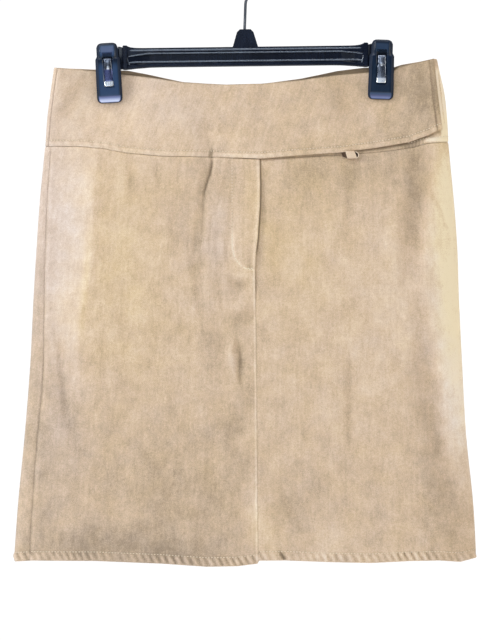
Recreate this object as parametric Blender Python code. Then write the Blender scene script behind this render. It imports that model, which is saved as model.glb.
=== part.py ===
"""A cotton mini skirt with a wide wrap-over waistband, held by a clip hanger.

Metres, +Z up. The skirt faces -Y, and +X is on the right of someone who looks at its front.
The origin is the hook's seat: the top of the hook's inside, where a rail carries the hanger.

Lengths below are written in millimetres and turned into metres where a mesh is made. The cloth is one
flattened tube, worked out from the sections in SECTIONS. A place on it is (u, z): z is the height, and u
runs round the tube, from -1 at the left fold over the front to +1 at the right fold, and on over the back
to +3, which is the left fold again. Each sewn piece is a stretch of that tube with its own thickness.
"""

import math
from bisect import bisect_right

import bmesh
import bpy
import numpy as np

MM = 0.001
GAP = 0.3  # between neighbours that touch or are sewn together
SEAM_U = 0.0012  # half that gap at a side seam, where u runs down the seam's two sides
SHARP_DEG = 40
LOOKS = {
    # look: colour, roughness, metallic
    "cotton": ((0.62, 0.49, 0.35), 0.95, 0.0),
    "tape": ((0.60, 0.50, 0.38), 0.9, 0.0),
    "plastic": ((0.018, 0.022, 0.03), 0.35, 0.0),
    "steel": ((0.72, 0.73, 0.75), 0.25, 1.0),
}

# ---------------------------------------------------------------- driving sizes of the cloth, mm
PANEL_T = 1.2  # brushed twill with its nap
BAND_T = 1.6  # waistband, cut double
HEM_T = 2.2  # cloth turned up once at the hem
HEM_DEPTH = 10.0
HEM_RIDGE = 0.3  # how far the turned hem stands proud outside
OVERLAP_GAP = 0.6  # air between the wrap-over band and the band below it
FLY_LIFT = PANEL_T + GAP  # the fly's edge lies on the other front
FLY_RAMP = 24.0  # width over which the left front climbs to that lift
FLY_BOTTOM_Z = -321.0
FLY_UNDERLAP = 6.0  # how far the right front runs on below the fly's edge
ZIP_WIDTH = 26.0
ZIP_T = 1.0
ZIP_TOP_Z, ZIP_BOTTOM_Z = -212.0, -316.0
LOOP_WIDTH, LOOP_DROP, LOOP_DEPTH, LOOP_T = 9.0, 8.0, 3.4, 0.9
LOOP_X = 106.0

# The flattened tube at each height: its two side folds, how far front and back stand off, the folds' radius.
SECTIONS = (
    # z,     left,   right,  front, back, fold radius
    (-95.0, -192.6, 192.0, 6.5, 5.5, 2.6),
    (-115.0, -194.7, 195.7, 7.0, 6.0, 2.6),
    (-140.0, -197.4, 202.0, 7.8, 7.0, 2.8),
    (-165.0, -201.0, 205.4, 9.0, 8.5, 3.0),
    (-190.0, -203.8, 207.4, 10.5, 10.0, 3.2),
    (-205.0, -205.3, 208.6, 12.0, 11.5, 3.5),
    (-250.0, -209.6, 212.5, 15.5, 15.0, 4.2),
    (-300.0, -212.9, 215.6, 18.5, 18.0, 4.8),
    (-350.0, -215.5, 218.2, 20.5, 20.0, 5.2),
    (-420.0, -219.4, 221.6, 22.5, 21.5, 5.6),
    (-490.0, -224.6, 225.6, 23.5, 22.5, 5.8),
    (-560.0, -231.0, 231.6, 24.5, 23.5, 6.0),
    (-630.0, -236.4, 235.4, 25.5, 24.5, 6.0),
)

# Edges that run across the cloth, as x and z. The cloth dips between the clips.
FRONT_TOP = (
    (-195.0, -114.7), (-155.0, -117.4), (-122.0, -121.6), (-98.0, -125.0), (-64.0, -130.8),
    (-20.0, -133.2), (15.0, -132.2), (55.0, -128.0), (93.0, -122.8), (124.0, -119.8),
    (151.0, -117.2), (157.0, -113.2), (194.0, -105.1),
)  # fmt: skip
BACK_TOP = (
    (-195.0, -114.7), (-155.0, -115.8), (-120.0, -117.0), (-98.0, -121.6), (-64.0, -129.6),
    (-20.0, -133.0), (15.0, -131.9), (55.0, -127.2), (93.0, -120.0), (121.0, -116.2),
    (151.5, -113.6), (160.0, -111.0), (194.0, -105.1),
)  # fmt: skip
BAND_SEAM = (
    (-205.0, -194.6), (-167.0, -195.2), (-145.0, -197.2), (-122.0, -201.6), (-85.0, -205.0),
    (-30.0, -205.9), (14.0, -208.0), (40.0, -206.6), (98.0, -203.6), (137.0, -200.6),
    (169.0, -196.6), (186.0, -191.8), (208.0, -190.0),
)  # fmt: skip
BACK_SEAM = ((-205.0, -194.6), (-100.0, -200.0), (0.0, -203.0), (100.0, -200.0), (208.0, -190.0))
# The wrap-over band's lower edge leaves the seam right of the fly and climbs to its free corner.
OVER_EDGE = (
    (-205.0, -194.6), (-167.0, -195.2), (-145.0, -197.2), (-122.0, -201.6), (-85.0, -205.0),
    (-30.0, -205.9), (14.0, -208.0), (40.0, -205.6), (98.0, -201.6), (137.0, -196.2),
    (167.0, -191.2), (187.0, -183.8), (200.0, -177.4),
)  # fmt: skip
FRONT_HEM = (
    (-236.0, -618.4), (-218.0, -616.9), (-153.0, -616.8), (-86.0, -619.4), (-39.0, -622.6),
    (-8.0, -622.0), (12.5, -619.4), (13.5, -616.4), (41.0, -616.2), (88.0, -618.0),
    (128.0, -618.8), (167.0, -617.0), (198.0, -616.6), (219.0, -618.3), (236.0, -614.6),
)  # fmt: skip
BACK_HEM = ((-236.0, -618.4), (-120.0, -617.4), (0.0, -619.0), (120.0, -617.6), (236.0, -614.6))

# Edges that run down the cloth, as z and x.
CENTRE_SEAM = (
    (-200.0, 14.2), (-234.0, 15.0), (-257.0, 14.6), (-290.0, 12.4), (-302.0, 10.9),
    (-322.0, 10.0), (-450.0, 11.6), (-620.0, 13.0),
)  # fmt: skip
LEFT_SEAM_INSET = (  # from the left fold to the side seam, which the hang has turned to the front
    (-190.0, 5.8), (-250.0, 7.8), (-300.0, 9.2), (-380.0, 12.4), (-445.0, 14.4),
    (-485.0, 13.2), (-520.0, 14.2), (-620.0, 16.3),
)  # fmt: skip
RIGHT_SEAM_INSET = 12.0  # the right side seam is turned to the back by as much
BAND_LEFT_SEAM_U = -0.972
BAND_RIGHT_SEAM_U = 1.03
OVER_END_X, OVER_END_LEAN = 192.0, 0.115  # the wrap-over's free end, which follows the widening hip
UNDER_END_X = 8.0  # where the lower band starts, hidden below the wrap-over

# The largest folds, as soft ridges and troughs from one point to another on the front or the back.
FOLDS = (
    # side,  x0,     z0,     x1,     z1,   half width, height
    ("front", -146.0, -214.0, -150.0, -470.0, 26.0, 2.6),
    ("front", -196.0, -400.0, -128.0, -590.0, 20.0, -2.4),
    ("front", -36.0, -172.0, -44.0, -268.0, 9.0, -1.4),
    ("front", -8.0, -330.0, -6.0, -350.0, 12.0, -1.6),
    ("front", -7.0, -398.0, -5.0, -436.0, 8.0, -1.6),
    ("front", 176.0, -205.0, 178.0, -250.0, 10.0, -2.2),
    ("front", 178.0, -250.0, 162.0, -345.0, 12.0, -2.4),
    ("front", 180.0, -400.0, 204.0, -520.0, 13.0, -2.6),
    ("front", 204.0, -520.0, 228.0, -590.0, 12.0, -1.8),
    ("front", 112.0, -420.0, 116.0, -500.0, 14.0, -1.2),
    ("front", -166.0, -128.0, -188.0, -172.0, 9.0, -1.6),
    ("back", 150.0, -215.0, 140.0, -460.0, 24.0, 2.4),
    ("back", -60.0, -225.0, -75.0, -400.0, 20.0, -2.0),
    ("back", 60.0, -300.0, 84.0, -540.0, 22.0, -2.2),
    ("back", -176.0, -240.0, -190.0, -520.0, 15.0, -2.2),
)

# ---------------------------------------------------------------- driving sizes of the hanger, mm
WIRE_R = 1.5
HOOK_R = 20.5  # to the wire's centre; its inside then has a 19 mm radius
HOOK_TIP_DEG = 196.0
SHANK_BEND_R = 12.0
SHANK_LEAN_DEG = 2.0
SOCKET_DEPTH = 14.0
BOSS_TOP_Z = -75.0
BOSS_TOP_W, BOSS_BASE_W, BOSS_T = 15.0, 27.0, 7.6
BAR_T = 9.0
BAR_TOP_Z, BAR_BOTTOM_Z = -92.9, -112.6
BAR_TILT_DEG = 0.7  # the right end hangs a little higher
BAR_EDGE_R = 0.9
WEB_DEPTH = 2.8  # how deep the web lies behind the flanges
WEB_TOP_Z, WEB_BOTTOM_Z = -97.9, -108.2
# Towards each end the web shallows out and bends down, and the bar flares into its collar.
BAR_STATIONS = (
    # x,    web depth share, web drop, extra height above, extra depth below
    (0.0, 1.0, 0.0, 0.0, 0.0),
    (88.0, 1.0, 0.0, 0.0, 0.0),
    (98.0, 1.0, 0.6, 0.0, 0.2),
    (106.0, 0.85, 1.8, 0.0, 0.8),
    (112.0, 0.6, 2.6, 0.2, 1.2),
    (117.0, 0.25, 3.0, 0.8, 1.8),
    (120.5, 0.0, 3.2, 2.0, 2.0),
)
COLLAR_X, COLLAR_W, COLLAR_T = 120.4, 5.0, 12.6
COLLAR_TOP_Z, COLLAR_BOTTOM_Z = -90.2, -114.8
TONGUE_Z, TONGUE_H, TONGUE_T, TONGUE_END_X = -108.2, 8.0, 6.0, 148.0
CLIP_X = 139.0
CLIP_W = 26.0
CLIP_H = 61.0
CLIP_TOP = 20.6  # above the middle of the tongue
CLIP_LEAN_DEG = 2.6  # both clips lean out at the top, as the cloth's weight pulls them in below
CLIP_OUTLINE = (
    # x,   down from the clip's top
    (6.6, 0.0), (9.6, 1.6), (10.9, 4.6), (10.9, 13.6), (12.3, 16.6), (12.3, 56.0), (11.6, 58.6),
    (9.9, 60.4), (7.4, 61.0),
)  # fmt: skip
SLOT_W, SLOT_TOP, SLOT_THROUGH, SLOT_END = 10.0, 10.6, 15.0, 45.2
SPRING_W, SPRING_T = 8.2, 0.8
PINCH_REST = 0.2  # half the air between front and back where a clip squeezes them
PINCH_HALF_X, PINCH_FADE_X = 19.0, 42.0
PINCH_FLOOR_Z, PINCH_FADE_Z = -155.0, 40.0


# ---------------------------------------------------------------- small mathematics
def along(table, at):
    """Value of a table of (position, value) rows, read with straight lines; positions may fall or rise."""
    xs, ys = zip(*sorted(table))
    return float(np.interp(at, xs, ys))


def smooth_along(table, at):
    """The same table read as a smooth curve through its rows."""
    rows = sorted(table)
    xs = [r[0] for r in rows]
    at = min(max(at, xs[0]), xs[-1])
    i = min(max(bisect_right(xs, at) - 1, 0), len(xs) - 2)
    x0, x1 = xs[i], xs[i + 1]
    y0, y1 = rows[i][1], rows[i + 1][1]
    before = rows[i - 1] if i > 0 else rows[i]
    after = rows[i + 2] if i + 2 < len(rows) else rows[i + 1]
    slope0 = (y1 - before[1]) / (x1 - before[0])
    slope1 = (after[1] - y0) / (after[0] - x0)
    t, h = (at - x0) / (x1 - x0), x1 - x0
    return (
        (1 + 2 * t) * (1 - t) ** 2 * y0
        + t * (1 - t) ** 2 * h * slope0
        + t * t * (3 - 2 * t) * y1
        + t * t * (t - 1) * h * slope1
    )


def smoothstep(edge0, edge1, value):
    t = min(max((value - edge0) / (edge1 - edge0), 0.0), 1.0)
    return t * t * (3 - 2 * t)


# ---------------------------------------------------------------- the cloth as one flattened tube
def section(z):
    """left, right, front, back and fold radius of the tube at height z."""
    return [smooth_along([(row[0], row[k]) for row in SECTIONS], z) for k in range(1, 6)]


_half_cache = {}


def half_ring(z, side):
    """One half of the section at z, as arrays of u, x and stand-off: a superellipse whose ends have the
    fold radius, measured off along its own length so that u is even."""
    key = (round(z, 4), side)
    if key not in _half_cache:
        left, right, front, back, radius = section(z)
        depth = front if side == "front" else back
        half, middle = (right - left) / 2, (right + left) / 2
        power = 2 * half * radius / depth**2
        s = np.sin(np.linspace(-math.pi / 2, math.pi / 2, 301))
        x = middle + half * s
        off = depth * np.sqrt(np.clip(1 - np.abs(s) ** power, 0, 1))
        length = np.concatenate([[0], np.cumsum(np.hypot(np.diff(x), np.diff(off)))])
        _half_cache[key] = (2 * length / length[-1] - 1, x, off)
    return _half_cache[key]


def side_of(u):
    """Which half u is on, and how far across it from the left fold, -1 to 1."""
    u = (u + 1) % 4 - 1
    return ("front", u) if u <= 1 else ("back", 2 - u)


def u_at(x, z, side="front"):
    """The u of the point of one half that has this x."""
    us, xs, _ = half_ring(z, side)
    across = float(np.interp(x, xs, us))
    return across if side == "front" else 2 - across


def pinch(x, z):
    """1 where a clip squeezes the cloth flat, fading to 0 away from it."""
    return max(
        1 - smoothstep(PINCH_HALF_X, PINCH_HALF_X + PINCH_FADE_X, abs(x - centre))
        for centre in (-CLIP_X, CLIP_X)
    ) * (1 - smoothstep(-PINCH_FLOOR_Z, -PINCH_FLOOR_Z + PINCH_FADE_Z, -z))


def fold_height(side, x, z):
    """How far the soft folds push the cloth outwards at one point."""
    total = 0.0
    for fold_side, x0, z0, x1, z1, width, height in FOLDS:
        if fold_side != side:
            continue
        dx, dz = x1 - x0, z1 - z0
        length = math.hypot(dx, dz)
        run = ((x - x0) * dx + (z - z0) * dz) / length
        across = ((x - x0) * dz - (z - z0) * dx) / length
        ends = smoothstep(-width, width, run) * (1 - smoothstep(length - width, length + width, run))
        total += height * math.exp(-((across / width) ** 2)) * ends
    return total


def wall_point(u, z):
    """A point of the tube's outer face, before any lift."""
    side, across = side_of(u)
    us, xs, offs = half_ring(z, side)
    x, off = float(np.interp(across, us, xs)), float(np.interp(across, us, offs))
    rest = min(off, PINCH_REST + BAND_T)
    off = rest + (off - rest) * (1 - pinch(x, z))
    off += fold_height(side, x, z) * smoothstep(2.0, 9.0, off)
    return np.array([x, -off if side == "front" else off, z])


def wall_normal(u, z):
    """Outward normal of the tube at (u, z)."""
    du, dz = 0.004, 1.0
    across = wall_point(u + du, z) - wall_point(u - du, z)
    down = wall_point(u, z + dz) - wall_point(u, z - dz)
    normal = np.cross(across, down)
    return normal / np.linalg.norm(normal)


def x_of(u, z):
    side, across = side_of(u)
    us, xs, _ = half_ring(z, side)
    return float(np.interp(across, us, xs))


def fly_ramp(x, z):
    """0 to 1 over the last stretch before the centre line, where the left front climbs."""
    edge = along(CENTRE_SEAM, z) - FLY_UNDERLAP - 2
    return smoothstep(edge - FLY_RAMP, edge, x)


# ---------------------------------------------------------------- meshes
def link(data, name, look):
    """An object of its own, with a material of its own in one of the LOOKS."""
    colour, roughness, metallic = LOOKS[look]
    material = bpy.data.materials.new(name)
    material.use_nodes = True
    shader = material.node_tree.nodes["Principled BSDF"]
    shader.inputs["Base Color"].default_value = (*colour, 1)
    shader.inputs["Roughness"].default_value = roughness
    shader.inputs["Metallic"].default_value = metallic
    data.materials.append(material)
    ob = bpy.data.objects.new(name, data)
    bpy.context.scene.collection.objects.link(ob)
    return ob


def finish_mesh(bm, name, look, smooth=False):
    bmesh.ops.recalc_face_normals(bm, faces=bm.faces)
    bmesh.ops.scale(bm, vec=(MM, MM, MM), verts=bm.verts)
    mesh = bpy.data.meshes.new(name)
    bm.to_mesh(mesh)
    bm.free()
    if smooth:
        mesh.shade_smooth()
        mesh.set_sharp_from_angle(angle=math.radians(SHARP_DEG))
    return link(mesh, name, look)


def wall_solid(name, look, columns, rows, lift, thickness):
    """A closed wall of cloth. columns is a list of functions of z that give u, rows a list of functions of u
    that give z, lift(u, z) moves the outer face outwards, and thickness(u, z) is the wall's.
    The outer face is a grid, and the inner face is the same grid moved in along the tube's normals."""
    bm = bmesh.new()
    outer, inner = [], []
    for row in rows:
        out_line, in_line = [], []
        for column in columns:
            u = column(row(column(-300.0)))
            z = row(u)
            u = column(z)
            point, normal = wall_point(u, z), wall_normal(u, z)
            out_line.append(bm.verts.new(point + normal * lift(u, z)))
            in_line.append(bm.verts.new(point + normal * (lift(u, z) - thickness(u, z))))
        outer.append(out_line)
        inner.append(in_line)
    last_row, last_column = len(rows) - 1, len(columns) - 1
    for i in range(last_row):
        for j in range(last_column):
            for grid in (outer, inner):
                bm.faces.new((grid[i][j], grid[i][j + 1], grid[i + 1][j + 1], grid[i + 1][j]))
    for i in range(last_row):
        for j in (0, last_column):
            bm.faces.new((outer[i][j], outer[i + 1][j], inner[i + 1][j], inner[i][j]))
    for j in range(last_column):
        for i in (0, last_row):
            bm.faces.new((outer[i][j], outer[i][j + 1], inner[i][j + 1], inner[i][j]))
    bmesh.ops.triangulate(bm, faces=bm.faces)
    return finish_mesh(bm, name, look, smooth=True)


def prism(name, look, outline, x_from, x_to):
    """A solid with its outline in the side view, as (y, z) points, run along X."""
    bm = bmesh.new()
    ends = [[bm.verts.new((x, y, z)) for y, z in outline] for x in (x_from, x_to)]
    bm.faces.new(ends[0])
    bm.faces.new(list(reversed(ends[1])))
    for i in range(len(outline)):
        j = (i + 1) % len(outline)
        bm.faces.new((ends[0][i], ends[1][i], ends[1][j], ends[0][j]))
    return finish_mesh(bm, name, look)


def front_prism(name, look, outline, y_from, y_to):
    """A solid with its outline in the front view, as (x, z) points, run along Y."""
    ob = prism(name, look, outline, y_from, y_to)
    for vertex in ob.data.vertices:
        x, y, z = vertex.co
        vertex.co = (y, x, z)
    ob.data.flip_normals()
    return ob


def box(name, look, low, high):
    outline = ((low[1], low[2]), (high[1], low[2]), (high[1], high[2]), (low[1], high[2]))
    return prism(name, look, outline, low[0], high[0])


def boolean(ob, other, operation):
    """Cuts or joins another solid; the other one is a guide, carried by the object it shapes."""
    other.hide_render = True
    other.display_type = "WIRE"
    other.parent = ob
    modifier = ob.modifiers.new(other.name, "BOOLEAN")
    modifier.operation = operation
    modifier.object = other
    modifier.solver = "EXACT"


def soften(ob, width, segments=2):
    modifier = ob.modifiers.new("edges", "BEVEL")
    modifier.width = width * MM
    modifier.segments = segments
    modifier.limit_method = "ANGLE"
    modifier.angle_limit = math.radians(40)


# ---------------------------------------------------------------- the pieces of cloth
def fixed(value):
    """A row or a column at one place."""
    return lambda _: value


def level(value):
    """A lift or a thickness that is the same all over."""
    return lambda u, z: value


def between(start, end, fractions):
    """Columns that share out the stretch between two functions of z."""
    return [lambda z, f=f: start(z) + (end(z) - start(z)) * f for f in fractions]


def crowded_ends(count, left_tip=False, right_tip=False):
    """Fractions from 0 to 1, with extra ones near an end that turns round a side fold."""
    inner = [i / count for i in range(1, count)]
    near = (0.012, 0.026, 0.048)
    extra = [f for f in near if left_tip] + [1 - f for f in near if right_tip]
    return [0.0, *sorted(inner + extra), 1.0]


def left_side_seam(z):
    left = section(z)[0]
    return u_at(left + along(LEFT_SEAM_INSET, z), z)


def right_side_seam(z):
    right = section(z)[1]
    return u_at(right - RIGHT_SEAM_INSET, z, "back")


def centre_seam(z, shift):
    return u_at(along(CENTRE_SEAM, z) + shift, z)


def edge_row(front, back, seed_z, shift=0.0):
    """A row that follows an edge across the cloth, on whichever half u is."""

    def row(u):
        side, _ = side_of(u)
        table = front if side == "front" else back
        return along(table, x_of(u, seed_z)) + shift

    return row


PANEL_ROWS_Z = (-226, -248, -270, -292, -312, -332, -358, -386, -414, -444, -474, -504, -534, -562, -588)
BAND_ROWS_Z = (-137.0, -150.0, -161.0, -171.0)


def panel_rows():
    """Seam at the top, level rows, then the hem's fold line, its step and its edge."""
    return [
        edge_row(BAND_SEAM, BACK_SEAM, -200, -GAP / 2),
        *[fixed(float(z)) for z in PANEL_ROWS_Z],
        edge_row(FRONT_HEM, BACK_HEM, -618, HEM_DEPTH + 1.5),
        edge_row(FRONT_HEM, BACK_HEM, -618, HEM_DEPTH - 0.5),
        edge_row(FRONT_HEM, BACK_HEM, -618, 0.0),
    ]


def hem_share(u, z):
    """1 on the turned hem, 0 above its stitching."""
    side, _ = side_of(u)
    hem = along(FRONT_HEM if side == "front" else BACK_HEM, x_of(u, -618))
    return 1 - smoothstep(hem + HEM_DEPTH, hem + HEM_DEPTH + 1.4, z)


def panel_thickness(u, z):
    return PANEL_T + (HEM_T + HEM_RIDGE - PANEL_T) * hem_share(u, z)


def panel_lift(u, z):
    return HEM_RIDGE * hem_share(u, z)


def left_front_lift(u, z):
    """The left front climbs to its fly edge, and comes back to the plain seam below the fly."""
    below = 1 - smoothstep(-FLY_BOTTOM_Z + 9, -FLY_BOTTOM_Z + 40, -z)
    return panel_lift(u, z) + FLY_LIFT * fly_ramp(x_of(u, z), z) * below


def right_front_edge(z):
    """The right front runs on below the fly, and stops at the centre seam lower down."""
    under = 1 - smoothstep(-FLY_BOTTOM_Z - 30, -FLY_BOTTOM_Z - 10, -z)
    return centre_seam(z, GAP / 2 - (FLY_UNDERLAP + GAP / 2) * under)


def skirt_front_left():
    columns = between(
        lambda z: left_side_seam(z) + SEAM_U,
        lambda z: centre_seam(z, -GAP / 2),
        [*crowded_ends(14)[:-1], 0.965, 1.0],
    )
    return wall_solid("skirt_front_left", "cotton", columns, panel_rows(), left_front_lift, panel_thickness)


def skirt_front_right():
    """From the centre seam round the right fold to the side seam on the back."""
    columns = between(right_front_edge, fixed(0.955), crowded_ends(13)) + [
        *[fixed(u) for u in (0.978, 0.992, 1.0, 1.008, 1.022)],
        lambda z: right_side_seam(z) - SEAM_U,
    ]
    return wall_solid("skirt_front_right", "cotton", columns, panel_rows(), panel_lift, panel_thickness)


def skirt_back():
    """From the right side seam over the back and round the left fold to the side seam on the front."""
    columns = between(lambda z: right_side_seam(z) + SEAM_U, fixed(2.955), crowded_ends(26)) + [
        *[fixed(u) for u in (2.978, 2.992, 3.0, 3.008, 3.02)],
        lambda z: left_side_seam(z) + 4 - SEAM_U,
    ]
    return wall_solid("skirt_back", "cotton", columns, panel_rows(), panel_lift, panel_thickness)


# Both bands use the same columns, so that the upper one keeps its distance from the lower one.
BAND_COLUMNS_U = [round(-0.93 + 0.06 * i, 4) for i in range(32)]


def band_columns(start, end):
    inside = [fixed(u) for u in BAND_COLUMNS_U if start(-150) + 0.012 < u < end(-150) - 0.012]
    return [start, *inside, end]


def over_lift(u, z):
    """The wrap-over leaves the tube left of the fly and lies on the lower band from there on."""
    x = x_of(u, z)
    return (BAND_T + OVERLAP_GAP) * smoothstep(UNDER_END_X - 30, UNDER_END_X - 4, x)


def over_end(z):
    return u_at(OVER_END_X - OVER_END_LEAN * (z - FRONT_TOP[-1][1]), z)


def band_wrap_over():
    """The front band, which runs on over the fly and the lower band to its free end at the right."""
    rows = [
        edge_row(FRONT_TOP, FRONT_TOP, -115),
        *[fixed(z) for z in BAND_ROWS_Z],
        edge_row(OVER_EDGE, OVER_EDGE, -195, GAP / 2),
    ]
    columns = band_columns(fixed(BAND_LEFT_SEAM_U + SEAM_U), over_end)
    return wall_solid("band_wrap_over", "cotton", columns, rows, over_lift, level(BAND_T))


def band_rows():
    return [
        edge_row(FRONT_TOP, BACK_TOP, -115),
        *[fixed(z) for z in BAND_ROWS_Z],
        edge_row(BAND_SEAM, BACK_SEAM, -200, GAP / 2),
    ]


def band_under():
    """The right front's own band, below the wrap-over, round the right fold to the side seam."""
    columns = [
        *band_columns(lambda z: u_at(UNDER_END_X, z), fixed(0.975)),
        *[fixed(u) for u in (0.988, 1.0, 1.012)],
        fixed(BAND_RIGHT_SEAM_U - SEAM_U),
    ]
    return wall_solid("band_under", "cotton", columns, band_rows(), level(0), level(BAND_T))


def band_back():
    """The back's band, round the left fold to the side seam on the front."""
    columns = [
        fixed(BAND_RIGHT_SEAM_U + SEAM_U),
        *[fixed(2 - u) for u in reversed(BAND_COLUMNS_U) if u < 0.94],
        *[fixed(u) for u in (2.955, 2.978, 2.99, 3.0, 3.012)],
        fixed(BAND_LEFT_SEAM_U + 4 - SEAM_U),
    ]
    return wall_solid("band_back", "cotton", columns, band_rows(), level(0), level(BAND_T))


def fly_zip():
    """The closed zip's two tapes as one strip, behind the right front's edge."""
    depth = PANEL_T + GAP
    centre_shift = -FLY_UNDERLAP / 2 - 3.0
    columns = between(
        lambda z: centre_seam(z, centre_shift - ZIP_WIDTH / 2),
        lambda z: centre_seam(z, centre_shift + ZIP_WIDTH / 2),
        (0.0, 0.33, 0.66, 1.0),
    )
    count = 6
    heights = [ZIP_TOP_Z + (ZIP_BOTTOM_Z - ZIP_TOP_Z) * i / count for i in range(count + 1)]
    return wall_solid("fly_zip", "tape", columns, [fixed(z) for z in heights], level(-depth), level(ZIP_T))


def belt_loop():
    """A narrow folded strip that hangs out from under the wrap-over's lower edge."""
    top = along(OVER_EDGE, LOOP_X) - GAP - 0.2
    places = [(LOOP_X + side * LOOP_WIDTH / 2, top - down) for side in (-1, 0, 1) for down in (0, LOOP_DROP)]
    back_y = min(wall_point(u_at(x, z), z)[1] for x, z in places) - GAP
    front_y = back_y - LOOP_DEPTH
    radius = LOOP_DEPTH / 2
    middle_y = (front_y + back_y) / 2
    turn_z = top - LOOP_DROP + radius
    angles = [math.pi * i / 6 for i in range(7)]
    outside = [(middle_y - radius * math.cos(a), turn_z - radius * math.sin(a)) for a in angles]
    inner_r = radius - LOOP_T
    inside = [(middle_y + inner_r * math.cos(a), turn_z - inner_r * math.sin(a)) for a in angles]
    outline = [
        (front_y, top), *outside, (back_y, top), (back_y - LOOP_T, top), *inside, (front_y + LOOP_T, top),
    ]  # fmt: skip
    return prism("belt_loop", "cotton", outline, LOOP_X - LOOP_WIDTH / 2, LOOP_X + LOOP_WIDTH / 2)


# ---------------------------------------------------------------- the hanger
def hook_path():
    """The wire's centreline: tip, three quarters of a circle, a counter-bend, and the leaning shank."""
    centre_z = WIRE_R - HOOK_R
    low_angle = -math.acos(SHANK_BEND_R / (HOOK_R + SHANK_BEND_R))
    tip_angle = math.radians(HOOK_TIP_DEG)
    points = []
    steps = 26
    for i in range(steps + 1):
        angle = tip_angle + (low_angle - tip_angle) * i / steps
        points.append((HOOK_R * math.cos(angle), centre_z + HOOK_R * math.sin(angle)))
    bend_z = centre_z + (HOOK_R + SHANK_BEND_R) * math.sin(low_angle)
    start, end = math.pi + low_angle, math.pi - math.radians(SHANK_LEAN_DEG)
    for i in range(1, 6):
        angle = start + (end - start) * i / 5
        x = SHANK_BEND_R + SHANK_BEND_R * math.cos(angle)
        points.append((x, bend_z + SHANK_BEND_R * math.sin(angle)))
    points.append(shank_point(BOSS_TOP_Z, points[-1]))
    points.append(shank_point(BOSS_TOP_Z - SOCKET_DEPTH + GAP, points[-1]))
    return points


def shank_point(z, above):
    """Where the leaning shank passes height z."""
    return (above[0] + (z - above[1]) * math.tan(math.radians(SHANK_LEAN_DEG)), z)


def hook():
    curve = bpy.data.curves.new("hook", "CURVE")
    curve.dimensions = "3D"
    curve.bevel_depth = WIRE_R * MM
    curve.bevel_resolution = 3
    curve.use_fill_caps = True
    spline = curve.splines.new("POLY")
    points = hook_path()
    spline.points.add(len(points) - 1)
    for target, (x, z) in zip(spline.points, points):
        target.co = (x * MM, 0, z * MM, 1)
    return link(curve, "hook", "steel")


def bar_section(station):
    """The bar's section at one station, as (y, z) points: an I-beam with rounded flanges."""
    _, depth_share, drop, above, below = station
    half, r = BAR_T / 2, BAR_EDGE_R
    top, bottom = BAR_TOP_Z + above, BAR_BOTTOM_Z - below
    web_top, web_bottom = WEB_TOP_Z - drop, WEB_BOTTOM_Z - drop * 0.8
    web = half - WEB_DEPTH * depth_share
    side = [
        (half - r, top), (half - r * 0.3, top - r * 0.3), (half, top - r), (half, web_top + r),
        (half - (half - web) * 0.3, web_top + r * 0.3), (web, web_top - r), (web, web_bottom + r),
        (half - (half - web) * 0.3, web_bottom - r * 0.3), (half, web_bottom - r), (half, bottom + r),
        (half - r * 0.3, bottom + r * 0.3), (half - r, bottom),
    ]  # fmt: skip
    return [*[(-y, z) for y, z in side], *reversed(side)]


def bar_beam():
    """The beam between the collars, swept through its stations from left to right."""
    bm = bmesh.new()
    stations = [(-row[0], *row[1:]) for row in reversed(BAR_STATIONS[1:])] + list(BAR_STATIONS)
    rings = [[bm.verts.new((row[0], y, z)) for y, z in bar_section(row)] for row in stations]
    count = len(rings[0])
    for ring, following in zip(rings, rings[1:]):
        for i in range(count):
            j = (i + 1) % count
            bm.faces.new((ring[i], ring[j], following[j], following[i]))
    bm.faces.new(rings[0])
    bm.faces.new(rings[-1])
    return finish_mesh(bm, "hanger_bar", "plastic", smooth=True)


def hanger_bar(pivot):
    """The moulded bar: the beam with collars, end tongues for the clips and a boss for the hook."""
    bar = bar_beam()
    base, top, corner = BOSS_BASE_W / 2, BOSS_TOP_W / 2, 3.0
    boss = [
        (-base, BAR_TOP_Z - 2), (base, BAR_TOP_Z - 2), (top + 1, BOSS_TOP_Z - corner), (top - 2, BOSS_TOP_Z),
        (2 - top, BOSS_TOP_Z), (-top - 1, BOSS_TOP_Z - corner),
    ]  # fmt: skip
    boolean(bar, front_prism("boss", "plastic", boss, -BOSS_T / 2, BOSS_T / 2), "UNION")
    for sign, side in ((-1, "left"), (1, "right")):
        x = sorted((sign * COLLAR_X, sign * (COLLAR_X + COLLAR_W)))
        low, high = (x[0], -COLLAR_T / 2, COLLAR_BOTTOM_Z), (x[1], COLLAR_T / 2, COLLAR_TOP_Z)
        collar = box(f"collar_{side}", "plastic", low, high)
        soften(collar, BAR_EDGE_R)
        boolean(bar, collar, "UNION")
        x = sorted((sign * (COLLAR_X + 1), sign * TONGUE_END_X))
        low = (x[0], -TONGUE_T / 2, TONGUE_Z - TONGUE_H / 2)
        high = (x[1], TONGUE_T / 2, TONGUE_Z + TONGUE_H / 2)
        boolean(bar, box(f"tongue_{side}", "plastic", low, high), "UNION")
    bm = bmesh.new()
    radius = WIRE_R + GAP
    bmesh.ops.create_cone(
        bm, cap_ends=True, segments=16, radius1=radius, radius2=radius, depth=SOCKET_DEPTH * 2
    )
    socket = finish_mesh(bm, "socket", "plastic")
    boolean(bar, socket, "DIFFERENCE")
    bar.parent = pivot
    # The boss is moulded upright on the tilted bar, and its socket follows the wire.
    shank_x, _ = hook_path()[-2]
    socket.parent = None
    socket.location = (shank_x * MM, 0, BOSS_TOP_Z * MM)
    socket.rotation_euler.y = math.radians(SHANK_LEAN_DEG)
    return bar


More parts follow.
